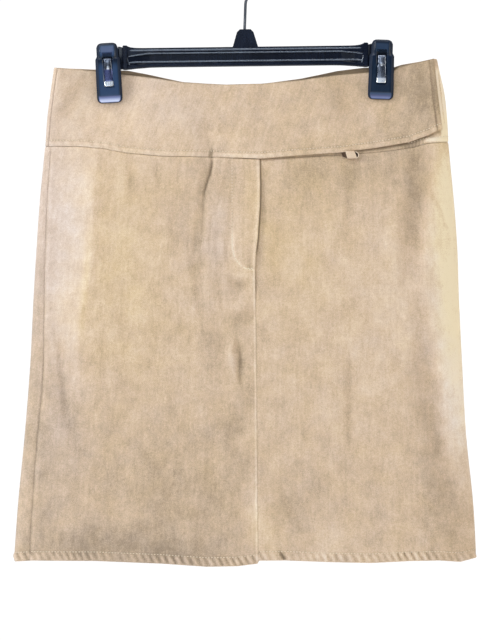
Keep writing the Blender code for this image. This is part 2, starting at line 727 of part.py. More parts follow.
def jaw_profile(pad_y):
    """A front jaw in the side view, from the clip's top (0) down. pad_y is the face that grips the cloth."""
    tongue_top = CLIP_TOP - TONGUE_H / 2
    tongue_low = CLIP_TOP + TONGUE_H / 2
    seat_y = -TONGUE_T / 2 - GAP
    return (
        (-8.6, 0.0), (-10.2, -2.0), (-10.6, -8.0), (-10.6, -20.0), (pad_y - 5.6, -50.0), (pad_y - 4.8, -53.0),
        (pad_y - 2.0, -CLIP_H), (pad_y, -CLIP_H), (pad_y, -tongue_low - 2.4), (seat_y, -tongue_low - 1.2),
        (seat_y, -tongue_top + 1.5), (-5.4, -8.0), (-5.4, 0.0),
    )  # fmt: skip


def from_pivot(points):
    """Points counted from the clip's top, turned into heights above the middle of the tongue."""
    return [(across, CLIP_TOP + z) for across, z in points]


def clip_jaw(name, pivot, pad_y, turned):
    """One moulded jaw with rounded corners, and a channel and a through slot for the spring.
    The back jaw is turned round."""
    jaw = prism(name, "plastic", from_pivot(jaw_profile(pad_y)), -CLIP_W / 2, CLIP_W / 2)
    right = [(x, -down) for x, down in CLIP_OUTLINE]
    outline = from_pivot([*right, *[(-x, z) for x, z in reversed(right)]])
    boolean(jaw, front_prism(f"{name}_outline", "plastic", outline, -20.0, 1.0), "INTERSECT")
    soften(jaw, 0.7)
    channel = (
        (-14.0, -SLOT_TOP), (-8.9, -SLOT_TOP), (-8.9, -20.0), (pad_y - 4.2, -SLOT_END), (-14.0, -SLOT_END)
    )  # fmt: skip
    through = ((-14.0, -SLOT_TOP), (-2.0, -SLOT_TOP), (-2.0, -SLOT_THROUGH), (-14.0, -SLOT_THROUGH))
    for label, cut in (("channel", channel), ("slot", through)):
        width = SLOT_W if label == "channel" else SLOT_W - 0.02
        cutter = prism(f"{name}_{label}", "plastic", from_pivot(cut), -width / 2, width / 2)
        boolean(jaw, cutter, "DIFFERENCE")
    jaw.parent = pivot
    jaw.rotation_euler.z = math.pi if turned else 0.0


def spring_leg(pad_y, sign):
    """One leg of the spring, from the middle over the tongue out through the slot and down its channel."""
    out = GAP + SPRING_T / 2
    return [
        (0.0, -12.9), (sign * 6.0, -13.0), (sign * (8.1 + out), -13.4), (sign * (8.9 + out), -14.8),
        (sign * (8.9 + out), -20.0),
        (sign * (-pad_y + 4.2 + out), -42.6), (sign * (-pad_y + 5.2 + out), -44.2),
    ]  # fmt: skip


def clip_spring(name, pivot, front_pad_y, back_pad_y):
    """A strip of spring steel that straddles the tongue and presses both jaws."""
    line = from_pivot([*reversed(spring_leg(front_pad_y, -1)), *spring_leg(back_pad_y, 1)[1:]])
    sides = []
    for offset in (SPRING_T / 2, -SPRING_T / 2):
        side = []
        for i, (y, z) in enumerate(line):
            before, after = line[max(i - 1, 0)], line[min(i + 1, len(line) - 1)]
            dy, dz = after[0] - before[0], after[1] - before[1]
            length = math.hypot(dy, dz)
            side.append((y - dz / length * offset, z + dy / length * offset))
        sides.append(side)
    outline = [*sides[0], *reversed(sides[1])]
    spring = prism(name, "steel", outline, -SPRING_W / 2, SPRING_W / 2)
    spring.parent = pivot


def clip(side, centre_x, front_face, back_face, hanger):
    """Two jaws and their spring, which rock together on the bar's tongue."""
    pivot = empty(f"clip_{side}_pivot", (centre_x, 0, TONGUE_Z))
    pivot.rotation_euler.y = math.copysign(math.radians(CLIP_LEAN_DEG), centre_x)
    pivot.parent = hanger
    front_pad, back_pad = -(front_face + GAP), -(back_face + GAP)
    clip_jaw(f"clip_{side}_front", pivot, front_pad, False)
    clip_jaw(f"clip_{side}_back", pivot, back_pad, True)
    clip_spring(f"clip_{side}_spring", pivot, front_pad, back_pad)


def empty(name, location):
    ob = bpy.data.objects.new(name, None)
    bpy.context.scene.collection.objects.link(ob)
    ob.location = [value * MM for value in location]
    return ob


def main():
    for ob in list(bpy.data.objects):
        bpy.data.objects.remove(ob)
    skirt_front_left()
    skirt_front_right()
    skirt_back()
    band_wrap_over()
    band_under()
    band_back()
    belt_loop()
    fly_zip()
    hook()
    hanger = empty("hanger_tilt", (0, 0, 0))
    hanger.rotation_euler.y = -math.radians(BAR_TILT_DEG)
    # The tilt turns the bar about its own middle.
    middle_z = (BAR_TOP_Z + BAR_BOTTOM_Z) / 2 * MM
    hanger.location = (middle_z * math.sin(math.radians(BAR_TILT_DEG)), 0, 0)
    hanger_bar(hanger)
    wall_face = PINCH_REST + BAND_T
    clip("left", -CLIP_X, wall_face, wall_face, hanger)
    # The right clip also holds the wrap-over's end.
    clip("right", CLIP_X, wall_face + OVERLAP_GAP + BAND_T, wall_face, hanger)


main()
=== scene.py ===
# %% [markdown]
# # A cotton mini skirt on its clip hanger
# The skirt is brushed cotton twill with a suede-like nap. Its wide waistband wraps over itself and ends
# near the right side, and a plastic hanger with two spring clips holds it flat. The solids of the part give
# every size and place. This lesson dresses them: each sewn piece becomes a thin, creased shell with its
# stitching, and the hanger gets moulded plastic and spring steel.

# %% Load the part
import math
from types import SimpleNamespace

import bmesh
import bpy
import numpy as np
from mathutils import Matrix, Vector


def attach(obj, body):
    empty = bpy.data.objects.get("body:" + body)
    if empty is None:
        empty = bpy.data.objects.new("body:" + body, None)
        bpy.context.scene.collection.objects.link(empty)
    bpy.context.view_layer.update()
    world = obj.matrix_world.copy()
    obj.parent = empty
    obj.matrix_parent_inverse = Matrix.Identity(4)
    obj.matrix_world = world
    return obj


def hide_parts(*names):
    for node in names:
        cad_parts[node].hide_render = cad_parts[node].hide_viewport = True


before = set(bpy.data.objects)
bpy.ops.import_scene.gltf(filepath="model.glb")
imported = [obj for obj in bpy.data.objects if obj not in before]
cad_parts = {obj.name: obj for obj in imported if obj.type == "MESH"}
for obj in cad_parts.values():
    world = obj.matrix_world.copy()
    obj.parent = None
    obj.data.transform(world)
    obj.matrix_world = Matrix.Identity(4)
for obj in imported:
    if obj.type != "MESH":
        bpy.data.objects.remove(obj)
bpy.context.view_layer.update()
MM = 0.001

# %% [markdown]
# ## The cloth as one flattened tube
# A hanging skirt is a tube pressed flat. We could sculpt it by hand, but then its pieces wouldn't meet.
# It is easier to describe the tube once: at each height a row gives the two side folds, how far front and
# back stand off, and how tight the folds are. Every piece is then a stretch of the same tube, so seams meet
# by themselves. Lengths are in millimetres here, and z counts down from the hook's seat.

# %% The tube's sections
SECTIONS = np.array(
    [
        # z,   left fold, right fold, front, back, fold radius
        (-95, -193.2, 193.5, 6.5, 5.5, 2.6),
        (-115, -195.9, 197.7, 7, 6, 2.6),
        (-140, -199.4, 203.2, 7.8, 7, 2.8),
        (-165, -202.6, 206, 9, 8.5, 3),
        (-190, -204.4, 207.4, 10.5, 10, 3.2),
        (-205, -205.8, 208.6, 12, 11.5, 3.5),
        (-250, -210.2, 213, 15.5, 15, 4.2),
        (-300, -213.7, 216.6, 18.5, 18, 4.8),
        (-350, -216.7, 218.2, 20.5, 20, 5.2),
        (-420, -220.2, 221.6, 22.5, 21.5, 5.6),
        (-490, -225.8, 225.6, 23.5, 22.5, 5.8),
        (-560, -232.5, 232.8, 24.5, 23.5, 6),
        (-630, -237.6, 236.6, 25.5, 24.5, 6),
    ]
)
print("sections:", len(SECTIONS), "heights from", SECTIONS[0, 0], "to", SECTIONS[-1, 0])

# %% Edges across the cloth, as x and z
FRONT_TOP = (
    (-195, -113.9), (-155, -117.4), (-122, -121.2), (-98, -124.2), (-64, -129.4),
    (-20, -131.6), (15, -130.9), (55, -127.2), (93, -121.9), (124, -119.2),
    (151, -117.2), (157, -113.2), (194, -105.1),
)
BACK_TOP = (
    (-195, -113.9), (-155, -115.8), (-120, -117), (-98, -121), (-64, -128.2),
    (-20, -131.2), (15, -130.2), (55, -124.9), (93, -117.2), (121, -114),
    (151.5, -113.6), (160, -111), (194, -105.1),
)
BAND_SEAM = (
    (-205, -194.6), (-167, -195.2), (-145, -197.2), (-122, -201.6), (-85, -205),
    (-30, -205.9), (14, -208), (40, -206.6), (98, -203.6), (137, -200.6),
    (169, -196.6), (186, -191.8), (208, -190),
)
BACK_SEAM = ((-205.0, -194.6), (-100.0, -200.0), (0.0, -203.0), (100.0, -200.0), (208.0, -190.0))
OVER_EDGE = (
    (-205, -194.6), (-167, -195.2), (-145, -197.2), (-122, -201.6), (-85, -205),
    (-30, -205.9), (14, -208), (40, -205.6), (98, -201.6), (137, -196.2),
    (167, -191.2), (187, -183.8), (200, -177.4),
)
FRONT_HEM = (
    (-236, -618.4), (-218, -616.9), (-153, -616.8), (-86, -619.4), (-39, -622.6),
    (-8, -622), (12.5, -619.4), (13.5, -616.4), (41, -616.2), (88, -618),
    (128, -618.8), (167, -617), (198, -616.6), (219, -618.3), (236, -614.6),
)
BACK_HEM = ((-236.0, -618.4), (-120.0, -617.4), (0.0, -619.0), (120.0, -617.6), (236.0, -614.6))
print("the front's top edge runs from", FRONT_TOP[0], "to", FRONT_TOP[-1])

# %% Edges down the cloth, as z and x, and how thick each piece is
CENTRE_SEAM = (
    (-200, 14.2), (-234, 15), (-257, 14.6), (-290, 12.4), (-302, 10.9),
    (-322, 10), (-450, 11.6), (-620, 13),
)
LEFT_SEAM_INSET = (
    (-190, 5.8), (-250, 7.8), (-300, 9.2), (-380, 12.4), (-445, 14.4),
    (-485, 13.2), (-520, 14.2), (-620, 16.3),
)
RIGHT_SEAM_INSET = 12.0
PANEL_T, BAND_T, HEM_T, HEM_DEPTH, HEM_RIDGE = 1.2, 1.6, 2.2, 10.0, 0.3
print("cloth", PANEL_T, "mm thick in the panels,", BAND_T, "in the band,", HEM_T, "at the hem")


# %% Reading tables, and two soft curves
def along(table, at):
    """Straight-line reading of a table of (position, value) rows, for whole arrays at once."""
    rows = np.array(sorted(table))
    return np.interp(at, rows[:, 0], rows[:, 1])


def run_along(*columns):
    """How far along a line each of its points lies, from its columns of coordinates."""
    steps = np.sqrt(sum(np.diff(column) ** 2 for column in columns))
    return np.concatenate([[0], np.cumsum(steps)])


def smoothstep(edge0, edge1, value):
    """0 before the first edge, 1 beyond the second, and a soft S between them."""
    t = np.clip((value - edge0) / (edge1 - edge0), 0.0, 1.0)
    return t * t * (3 - 2 * t)


def bell(distance, width):
    """1 in the middle, and next to nothing two widths away."""
    return np.exp(-((distance / width) ** 2))


print("a bell one width from its middle:", round(float(bell(1, 1)), 3))

# %% [markdown]
# Each half of a section is a superellipse: flat in the middle, with ends of the fold's radius. Working one
# out for each of a hundred thousand points would be slow, so we work out a ring every 2 mm once, spread
# evenly along its own length, and read between the rings afterwards.

# %% Rings of the tube
RING_STEP, RING_POINTS = 2.0, 1201
RING_Z = np.arange(-96.0, -640.0, -RING_STEP)


def smooth_column(z, column):
    """A smooth curve through one column of SECTIONS."""
    rows = SECTIONS[::-1]
    xs, ys = rows[:, 0], rows[:, column]
    slopes = np.gradient(ys, xs)
    slopes[1:-1] = (ys[2:] - ys[:-2]) / (xs[2:] - xs[:-2])
    i = np.clip(np.searchsorted(xs, z, side="right") - 1, 0, len(xs) - 2)
    h = xs[i + 1] - xs[i]
    t = np.clip((z - xs[i]) / h, 0, 1)
    first = (1 + 2 * t) * (1 - t) ** 2 * ys[i] + t * (1 - t) ** 2 * h * slopes[i]
    return first + t * t * (3 - 2 * t) * ys[i + 1] + t * t * (t - 1) * h * slopes[i + 1]


def half_rings(side):
    """x and stand-off of one half of every ring, at even steps from the left fold to the right one."""
    xs, offs = [], []
    s = np.sin(np.linspace(-math.pi / 2, math.pi / 2, 601))
    for z in RING_Z:
        left, right, front, back, radius = (float(smooth_column(z, k)) for k in range(1, 6))
        depth = front if side == "front" else back
        half = (right - left) / 2
        x = (right + left) / 2 + half * s
        off = depth * np.sqrt(np.clip(1 - np.abs(s) ** (2 * half * radius / depth**2), 0, 1))
        length = run_along(x, off)
        even = np.linspace(0, length[-1], RING_POINTS)
        xs.append(np.interp(even, length, x))
        offs.append(np.interp(even, length, off))
    return np.array(xs), np.array(offs)


RINGS = {side: half_rings(side) for side in ("front", "back")}
print("rings:", len(RING_Z), "to a side, of", RING_POINTS, "points")


# %% Reading between the rings
def read_rings(u, z):
    """x, stand-off and which side is the front, for arrays of u (-1 to 1 front, 1 to 3 back) and z."""
    u, z = np.broadcast_arrays(np.asarray(u, float), np.asarray(z, float))
    u = (u + 1) % 4 - 1
    on_front = u <= 1
    across = np.where(on_front, u, 2 - u)
    row = np.clip((RING_Z[0] - z) / RING_STEP, 0, len(RING_Z) - 1.001)
    column = np.clip((across + 1) / 2 * (RING_POINTS - 1), 0, RING_POINTS - 1.001)
    i, j = row.astype(int), column.astype(int)
    fi, fj = row - i, column - j
    out = []
    for k in (0, 1):
        both = []
        for side in ("front", "back"):
            t = RINGS[side][k]
            upper = t[i, j] * (1 - fj) + t[i, j + 1] * fj
            lower = t[i + 1, j] * (1 - fj) + t[i + 1, j + 1] * fj
            both.append(upper * (1 - fi) + lower * fi)
        out.append(np.where(on_front, both[0], both[1]))
    return out[0], out[1], on_front


def u_at(x, z, side="front"):
    """The u that has this x on one half, found by halving."""
    x, z = np.broadcast_arrays(np.asarray(x, float), np.asarray(z, float))
    low, high = np.full(x.shape, -1.0), np.full(x.shape, 1.0)
    for _ in range(22):
        middle = (low + high) / 2
        here = read_rings(middle if side == "front" else 2 - middle, z)[0]
        low, high = np.where(here < x, middle, low), np.where(here < x, high, middle)
    across = (low + high) / 2
    return across if side == "front" else 2 - across


x_test, off_test, _ = read_rings(0.0, -300.0)
print("the front's middle, 300 mm down: x", round(float(x_test), 1), "stand-off", round(float(off_test), 1))

# %% [markdown]
# ## Creases one by one
# Cloth that hangs from two clips doesn't fold at random. The pull runs from the clips and the fly down the
# front, and each crease has its own place, width and depth. A cloth simulation would give other creases than
# these, so each one is a brush stroke in a table: points to follow, a width on each side, a height (a trough
# is negative), and how rounded its crest is. The large folds of the part's own solids come first.

# %% Large folds
def both_sides(front_rows, back_rows):
    """Rows of two tables in one list, each led by True at the front and False at the back."""
    return [(True, *row) for row in front_rows] + [(False, *row) for row in back_rows]


FRONT_LARGE_FOLDS = (
    # x0, z0, x1, z1, half width, height
    (-146, -214, -150, -470, 26, 2.6),
    (-196, -400, -128, -590, 20, -2.4),
    (-36, -172, -44, -268, 9, -1.4),
    (-8, -330, -6, -350, 12, -1.6),
    (-7, -398, -5, -436, 8, -1.6),
    (176, -205, 178, -250, 10, -2.2),
    (178, -250, 162, -345, 12, -2.4),
    (180, -400, 204, -520, 13, -2.6),
    (204, -520, 228, -590, 12, -1.8),
    (112, -420, 116, -500, 14, -1.2),
    (-166, -128, -188, -172, 9, -1.6),
)
BACK_LARGE_FOLDS = (
    (150, -215, 140, -460, 24, 2.4),
    (-60, -225, -75, -400, 20, -2),
    (60, -300, 84, -540, 22, -2.2),
    (-176, -240, -190, -520, 15, -2.2),
)
LARGE_FOLDS = both_sides(FRONT_LARGE_FOLDS, BACK_LARGE_FOLDS)


def large_folds(front, x, z):
    """How far the part's own folds push the cloth outwards."""
    total = np.zeros(x.shape)
    for at_front, x0, z0, x1, z1, width, height in LARGE_FOLDS:
        length = math.hypot(x1 - x0, z1 - z0)
        dx, dz = (x1 - x0) / length, (z1 - z0) / length
        run = (x - x0) * dx + (z - z0) * dz
        across = (x - x0) * dz - (z - z0) * dx
        ends = smoothstep(-width, width, run) * (1 - smoothstep(length - width, length + width, run))
        total += np.where(front == at_front, height * bell(across, width) * ends, 0)
    return total


print("large folds:", len(LARGE_FOLDS))

# %% Fine creases
FRONT_CREASES = (
    # height, width left, width right, crest radius, points from top to bottom (x, z)
    # the pinch below the band left of the fly, and the long drag line that it starts
    (-2.2, 1.4, 1.2, 0.3, ((-34.5, -200), (-33.5, -213), (-35.5, -222), (-39.5, -234), (-42.5, -246))),
    (0.9, 1.4, 2.6, 0.4, ((-31.5, -205), (-31, -216), (-34, -228))),
    (0.6, 4.5, 2.4, 1, ((-40, -206), (-47, -226), (-52, -244))),
    (-0.7, 2, 3.6, 0.5, ((-42, -240), (-48, -262), (-51.5, -290), (-51, -330), (-46, -368), (-40, -392))),
    (-0.5, 1.4, 2, 0.4, ((-40, -236), (-43, -262), (-46, -300), (-45, -336), (-40, -372))),
    (0.6, 4, 4, 1, ((-32, -236), (-37, -270), (-40, -305), (-40, -345), (-32, -385))),
    (-0.5, 1.6, 2.4, 0.5, ((-26, -262), (-30, -292), (-29, -326), (-24, -360), (-16, -392))),
    (-0.4, 1.2, 1.6, 0.4, ((-11.5, -208), (-11, -226), (-14, -246), (-20, -262))),
    (-0.9, 1.2, 1.4, 0.3, ((-41.5, -236), (-43, -258), (-43.5, -288))),
    (-0.5, 1.1, 1.3, 0.3, ((-31, -248), (-35, -272), (-37, -304))),
    (-0.5, 1.1, 1.3, 0.3, ((-23, -232), (-27, -250), (-33, -270))),
    (-0.45, 1.2, 1.4, 0.3, ((-0.5, -209), (0.5, -222), (-1.5, -238))),
    (-0.45, 1.1, 1.3, 0.3, ((-18, -284), (-19, -304), (-16, -322))),
    (-0.4, 1.2, 1.5, 0.3, ((-56, -262), (-58, -296), (-55, -336))),
    (0.4, 3, 3, 0.8, ((-22, -280), (-22, -310), (-18, -345))),
    (-0.7, 2.4, 2.8, 0.6, ((-16, -208), (-20, -232), (-20, -252))),
    # the hollow under the fly's end, the smile below it, and the short deep crease
    (1.3, 4.5, 3, 1, ((-22, -318), (-14, -326), (-2, -328), (9, -326))),
    (-1.5, 3.2, 4, 0.8, ((-22, -326), (-13, -333), (-4, -338), (7, -338))),
    (-1, 3, 4.5, 1, ((-14, -378), (-6, -372), (3, -371), (11, -374))),
    (0.9, 4, 4, 1, ((-12, -362), (0, -358), (10, -360))),
    (-1.6, 1.8, 3.2, 0.5, ((-9.5, -390), (-6.5, -401), (-5, -412), (-6.3, -424), (-3.5, -438))),
    (1.4, 4, 3, 1, ((-15, -392), (-14, -412), (-9, -438))),
    (-1.2, 9, 9, 2, ((-34, -455), (-26, -472), (-10, -486), (2, -492))),
    # left of the front: the ridge where the cloth turns to the side, and the trough below it
    (0.8, 14, 9, 3, ((-156, -204), (-157, -260), (-160, -320), (-165, -370), (-172, -430))),
    (-1.9, 3, 5, 1, ((-197, -372), (-190, -400), (-186, -430), (-182, -470), (-170, -500))),
    (1.2, 6, 6, 1.4, ((-206, -440), (-194, -480), (-176, -516), (-150, -545))),
    (-1.2, 10, 11, 3, ((-208, -578), (-180, -596), (-146, -600), (-116, -606))),
    (-0.8, 2.6, 2.6, 0.8, ((-117, -205), (-115, -226), (-116, -246))),
    (-0.8, 2.4, 3.4, 0.8, ((-89, -206), (-90, -226), (-87, -246))),
    (-0.5, 3, 3, 1, ((-66, -207), (-72, -262), (-80, -330))),
    (0.5, 6, 6, 1.4, ((-74, -236), (-78, -262), (-84, -300))),
    # lower front: shallow, broad hollows
    (-0.9, 12, 9, 3, ((-96, -540), (-86, -580), (-80, -618))),
    (0.8, 10, 9, 3, ((-60, -520), (-56, -570), (-54, -612))),
    (-0.9, 11, 8, 3, ((-28, -520), (-30, -560), (-36, -604))),
    (0.9, 5, 6, 1.6, ((4, -500), (8, -540), (18, -580), (30, -608))),
    (-1.3, 6, 8, 2, ((28, -530), (42, -556), (50, -580))),
    (-0.9, 7, 9, 2, ((52, -560), (64, -590), (66, -615))),
    # right of the fly
    (-0.9, 3, 3.4, 1, ((100, -210), (106, -236), (105, -266), (103, -290))),
    (-0.7, 2.4, 3.2, 0.8, ((104, -395), (106, -440), (105, -500))),
    (0.8, 9, 9, 2, ((84, -430), (92, -500), (90, -590))),
    (-0.7, 8, 8, 2, ((132, -420), (140, -480), (140, -560))),
    # the long valley on the right, with the cloth rolled to the side beyond it
    (-0.8, 9, 7, 2, ((178, -196), (176, -240), (174, -280), (172, -310), (172, -340), (174, -362))),
    (-1.3, 8, 6, 1.6, ((172, -352), (178, -392), (186, -440), (194, -490), (204, -536), (214, -580))),
    (1.5, 4, 9, 1.6, ((188, -210), (184, -270), (184, -330), (194, -390), (206, -450), (214, -500))),
    (0.9, 4, 4, 1.2, ((152, -250), (152, -300), (154, -352))),
    (-1.4, 5, 6, 1.4, ((176, -560), (186, -590), (196, -612))),
    # waistband: the diagonal from the left clip, its small waves, and the pull at the right end
    (-1.2, 4, 6, 1, ((-160, -122), (-170, -131), (-180, -145), (-188, -165))),
    (0.9, 6, 6, 1.4, ((-152, -134), (-166, -152), (-178, -178))),
    (0.8, 9, 10, 2, ((-60, -140), (-66, -170), (-62, -196))),
    (-0.8, 8, 9, 2, ((-44, -146), (-38, -170), (-40, -196))),
    (-1.2, 1.3, 1.5, 0.3, ((-24, -172), (-29, -186), (-33.5, -194), (-36, -206))),
    (-0.6, 1.2, 1.4, 0.3, ((-39, -176), (-38, -190), (-36, -202))),
    (0.8, 1.6, 2.6, 0.4, ((-28, -180), (-30.5, -192), (-32, -203))),
    (-0.9, 9, 8, 2, ((16, -140), (20, -170), (10, -198))),
    (0.8, 10, 9, 2, ((60, -146), (76, -172), (84, -192))),
    (-1.2, 6, 7, 1.6, ((132, -168), (142, -178), (150, -190))),
    (-1.2, 5, 6, 1.4, ((172, -116), (180, -140), (186, -166))),
)
BACK_CREASES = (
    (-1.9, 3.4, 4.2, 0.8, ((40, -206), (46, -250), (52, -310))),
    (-1.5, 5, 6, 1.2, ((120, -208), (128, -270), (118, -350), (108, -420))),
    (1.2, 7, 6, 1.4, ((-20, -220), (-26, -300), (-18, -380))),
    (-1.8, 6, 5, 1.2, ((-130, -210), (-142, -290), (-150, -380), (-146, -460))),
    (1.4, 8, 7, 1.6, ((-100, -330), (-112, -420), (-124, -520))),
    (-2, 5, 7, 1.4, ((-60, -470), (-44, -530), (-40, -600))),
    (-1.7, 6, 5, 1.4, ((150, -460), (166, -530), (182, -600))),
    (1.1, 9, 9, 2, ((20, -480), (30, -560), (28, -612))),
    (-1.5, 3.4, 4.4, 0.9, ((-6, -398), (2, -430), (4, -462))),
    (-1.5, 5, 5, 1.2, ((168, -120), (182, -140), (192, -170))),
    (-0.9, 8, 8, 2, ((10, -142), (0, -172), (6, -198))),
    (0.9, 9, 8, 2, ((-80, -142), (-92, -172), (-88, -196))),
)
CREASES = both_sides(FRONT_CREASES, BACK_CREASES)
print("fine creases:", len(CREASES))


# %% A brush stroke along a line of points
def stroke(x, z, points, left_width, right_width, crest):
    """A soft tent along a line of points: 1 on its crest, fading over its widths and towards its ends."""
    best = np.full(x.shape, 1e9)
    value = np.zeros(x.shape)
    lengths = [math.dist(a, b) for a, b in zip(points, points[1:])]
    total, before = sum(lengths), 0.0
    for (x0, z0), (x1, z1), length in zip(points, points[1:], lengths):
        dx, dz = (x1 - x0) / length, (z1 - z0) / length
        run = np.clip((x - x0) * dx + (z - z0) * dz, 0, length)
        gap_x, gap_z = x - (x0 + run * dx), z - (z0 + run * dz)
        distance = np.hypot(gap_x, gap_z)
        left = (gap_x * dz - gap_z * dx) > 0
        width = np.where(left, left_width, right_width)
        fade = np.exp(-((np.hypot(distance, crest) - crest) / width) ** 1.5)
        share = (before + run) / total
        ends = np.sin(math.pi * np.clip(share, 0.02, 0.98)) ** 0.6
        closer = distance < best
        value = np.where(closer, fade * ends, value)
        best = np.minimum(best, distance)
        before += length
    return value


def creases(front, x, z, as_painted_shade=False):
    """Millimetres outwards. With the flag, the creases' painted shade and light, full only where narrow."""
    total = np.zeros(x.shape)
    for at_front, height, left_width, right_width, crest, points in CREASES:
        if as_painted_shade:
            height = height * min(1.0, 5.5 / (left_width + right_width))
        reach = 4 * max(left_width, right_width) + crest
        xs, zs = [p[0] for p in points], [p[1] for p in points]
        near = (front == at_front) & (x > min(xs) - reach) & (x < max(xs) + reach)
        near &= (z > min(zs) - reach) & (z < max(zs) + reach)
        if near.any():
            total[near] += height * stroke(x[near], z[near], points, left_width, right_width, crest)
    return total


on_crest = stroke(np.zeros(1), np.full(1, -5.0), ((0, 0), (0, -10)), 1, 1, 0)
print("halfway along a stroke its crest has the value", float(on_crest[0]))

# %% [markdown]
# The whole cloth surface is then one function of (u, z): the ring, squeezed flat under the clips, plus large
# folds, creases and a faint unevenness that all soft cloth has. Its outward normals come from the same
# function read a little further along, and every lift, thickness and stitch goes along them.

# %% Pinched by the clips, and faintly uneven
CLIP_X, PINCH_REST, PINCH_HALF_X, PINCH_FADE_X = 139.0, 0.2, 19.0, 42.0
PINCH_FLOOR_Z, PINCH_FADE_Z = -155.0, 40.0
UNEVEN_SPAN = 215.0
UNEVEN = (
    # wave length across, wave length down, slant, phase, height
    (61, 143, 0.21, 0.4, 0.16),
    (37, 94, -0.17, 1.9, 0.12),
    (23, 58, 0.33, 4.1, 0.08),
    (17, 31, -0.41, 2.7, 0.07),
    (11, 19, 0.52, 5.2, 0.045),
)


def pinch(x, z):
    """1 where a clip squeezes the cloth flat."""
    gap = np.minimum(np.abs(x - CLIP_X), np.abs(x + CLIP_X))
    across = 1 - smoothstep(PINCH_HALF_X, PINCH_HALF_X + PINCH_FADE_X, gap)
    return across * (1 - smoothstep(-PINCH_FLOOR_Z, PINCH_FADE_Z - PINCH_FLOOR_Z, -z))


def unevenness(u, z):
    total = np.zeros(np.broadcast(u, z).shape)
    for wide, long, slant, phase, height in UNEVEN:
        a = 2 * math.pi * (u * UNEVEN_SPAN / wide + slant * z / long) + phase
        b = 2 * math.pi * (z / long - slant * u * UNEVEN_SPAN / wide) + 2.3 * phase
        total += height * np.sin(a + 0.8 * np.sin(b)) * np.sin(b + 0.6 * np.sin(a * 0.5))
    return total


print("under a clip the cloth is pinched by", float(pinch(np.float64(CLIP_X), -120.0)))


# %% The cloth's outer surface and its normals
def cloth(u, z, relief=True):
    """Points of the cloth's outer face, in millimetres."""
    x, off, front = read_rings(u, z)
    squeeze = pinch(x, z)
    rest = np.minimum(off, PINCH_REST + BAND_T)
    off = rest + (off - rest) * (1 - squeeze)
    free = smoothstep(2, 9, off)
    off = off + large_folds(front, x, z) * free
    if relief:
        off = off + (creases(front, x, z) + unevenness(u, z)) * free * (1 - squeeze)
    y = np.where(front, -off, off)
    return np.stack([x, y, np.broadcast_to(z, x.shape)], axis=-1)


def cloth_normal(u, z, relief=True):
    across = cloth(u + 0.003, z, relief) - cloth(u - 0.003, z, relief)
    down = cloth(u, z + 0.7, relief) - cloth(u, z - 0.7, relief)
    normal = np.cross(across, down)
    return normal / np.linalg.norm(normal, axis=-1, keepdims=True)


def on_cloth(u, z, lift):
    """Points moved out of the cloth by lift millimetres."""
    u, z = np.broadcast_arrays(np.asarray(u, float), np.asarray(z, float))
    return cloth(u, z) + cloth_normal(u, z, relief=False) * np.broadcast_to(lift, u.shape)[..., None]


sample = on_cloth(np.array([0.0]), np.array([-300.0]), 0.0)[0]
print("a point of the front:", [round(float(v), 2) for v in sample])
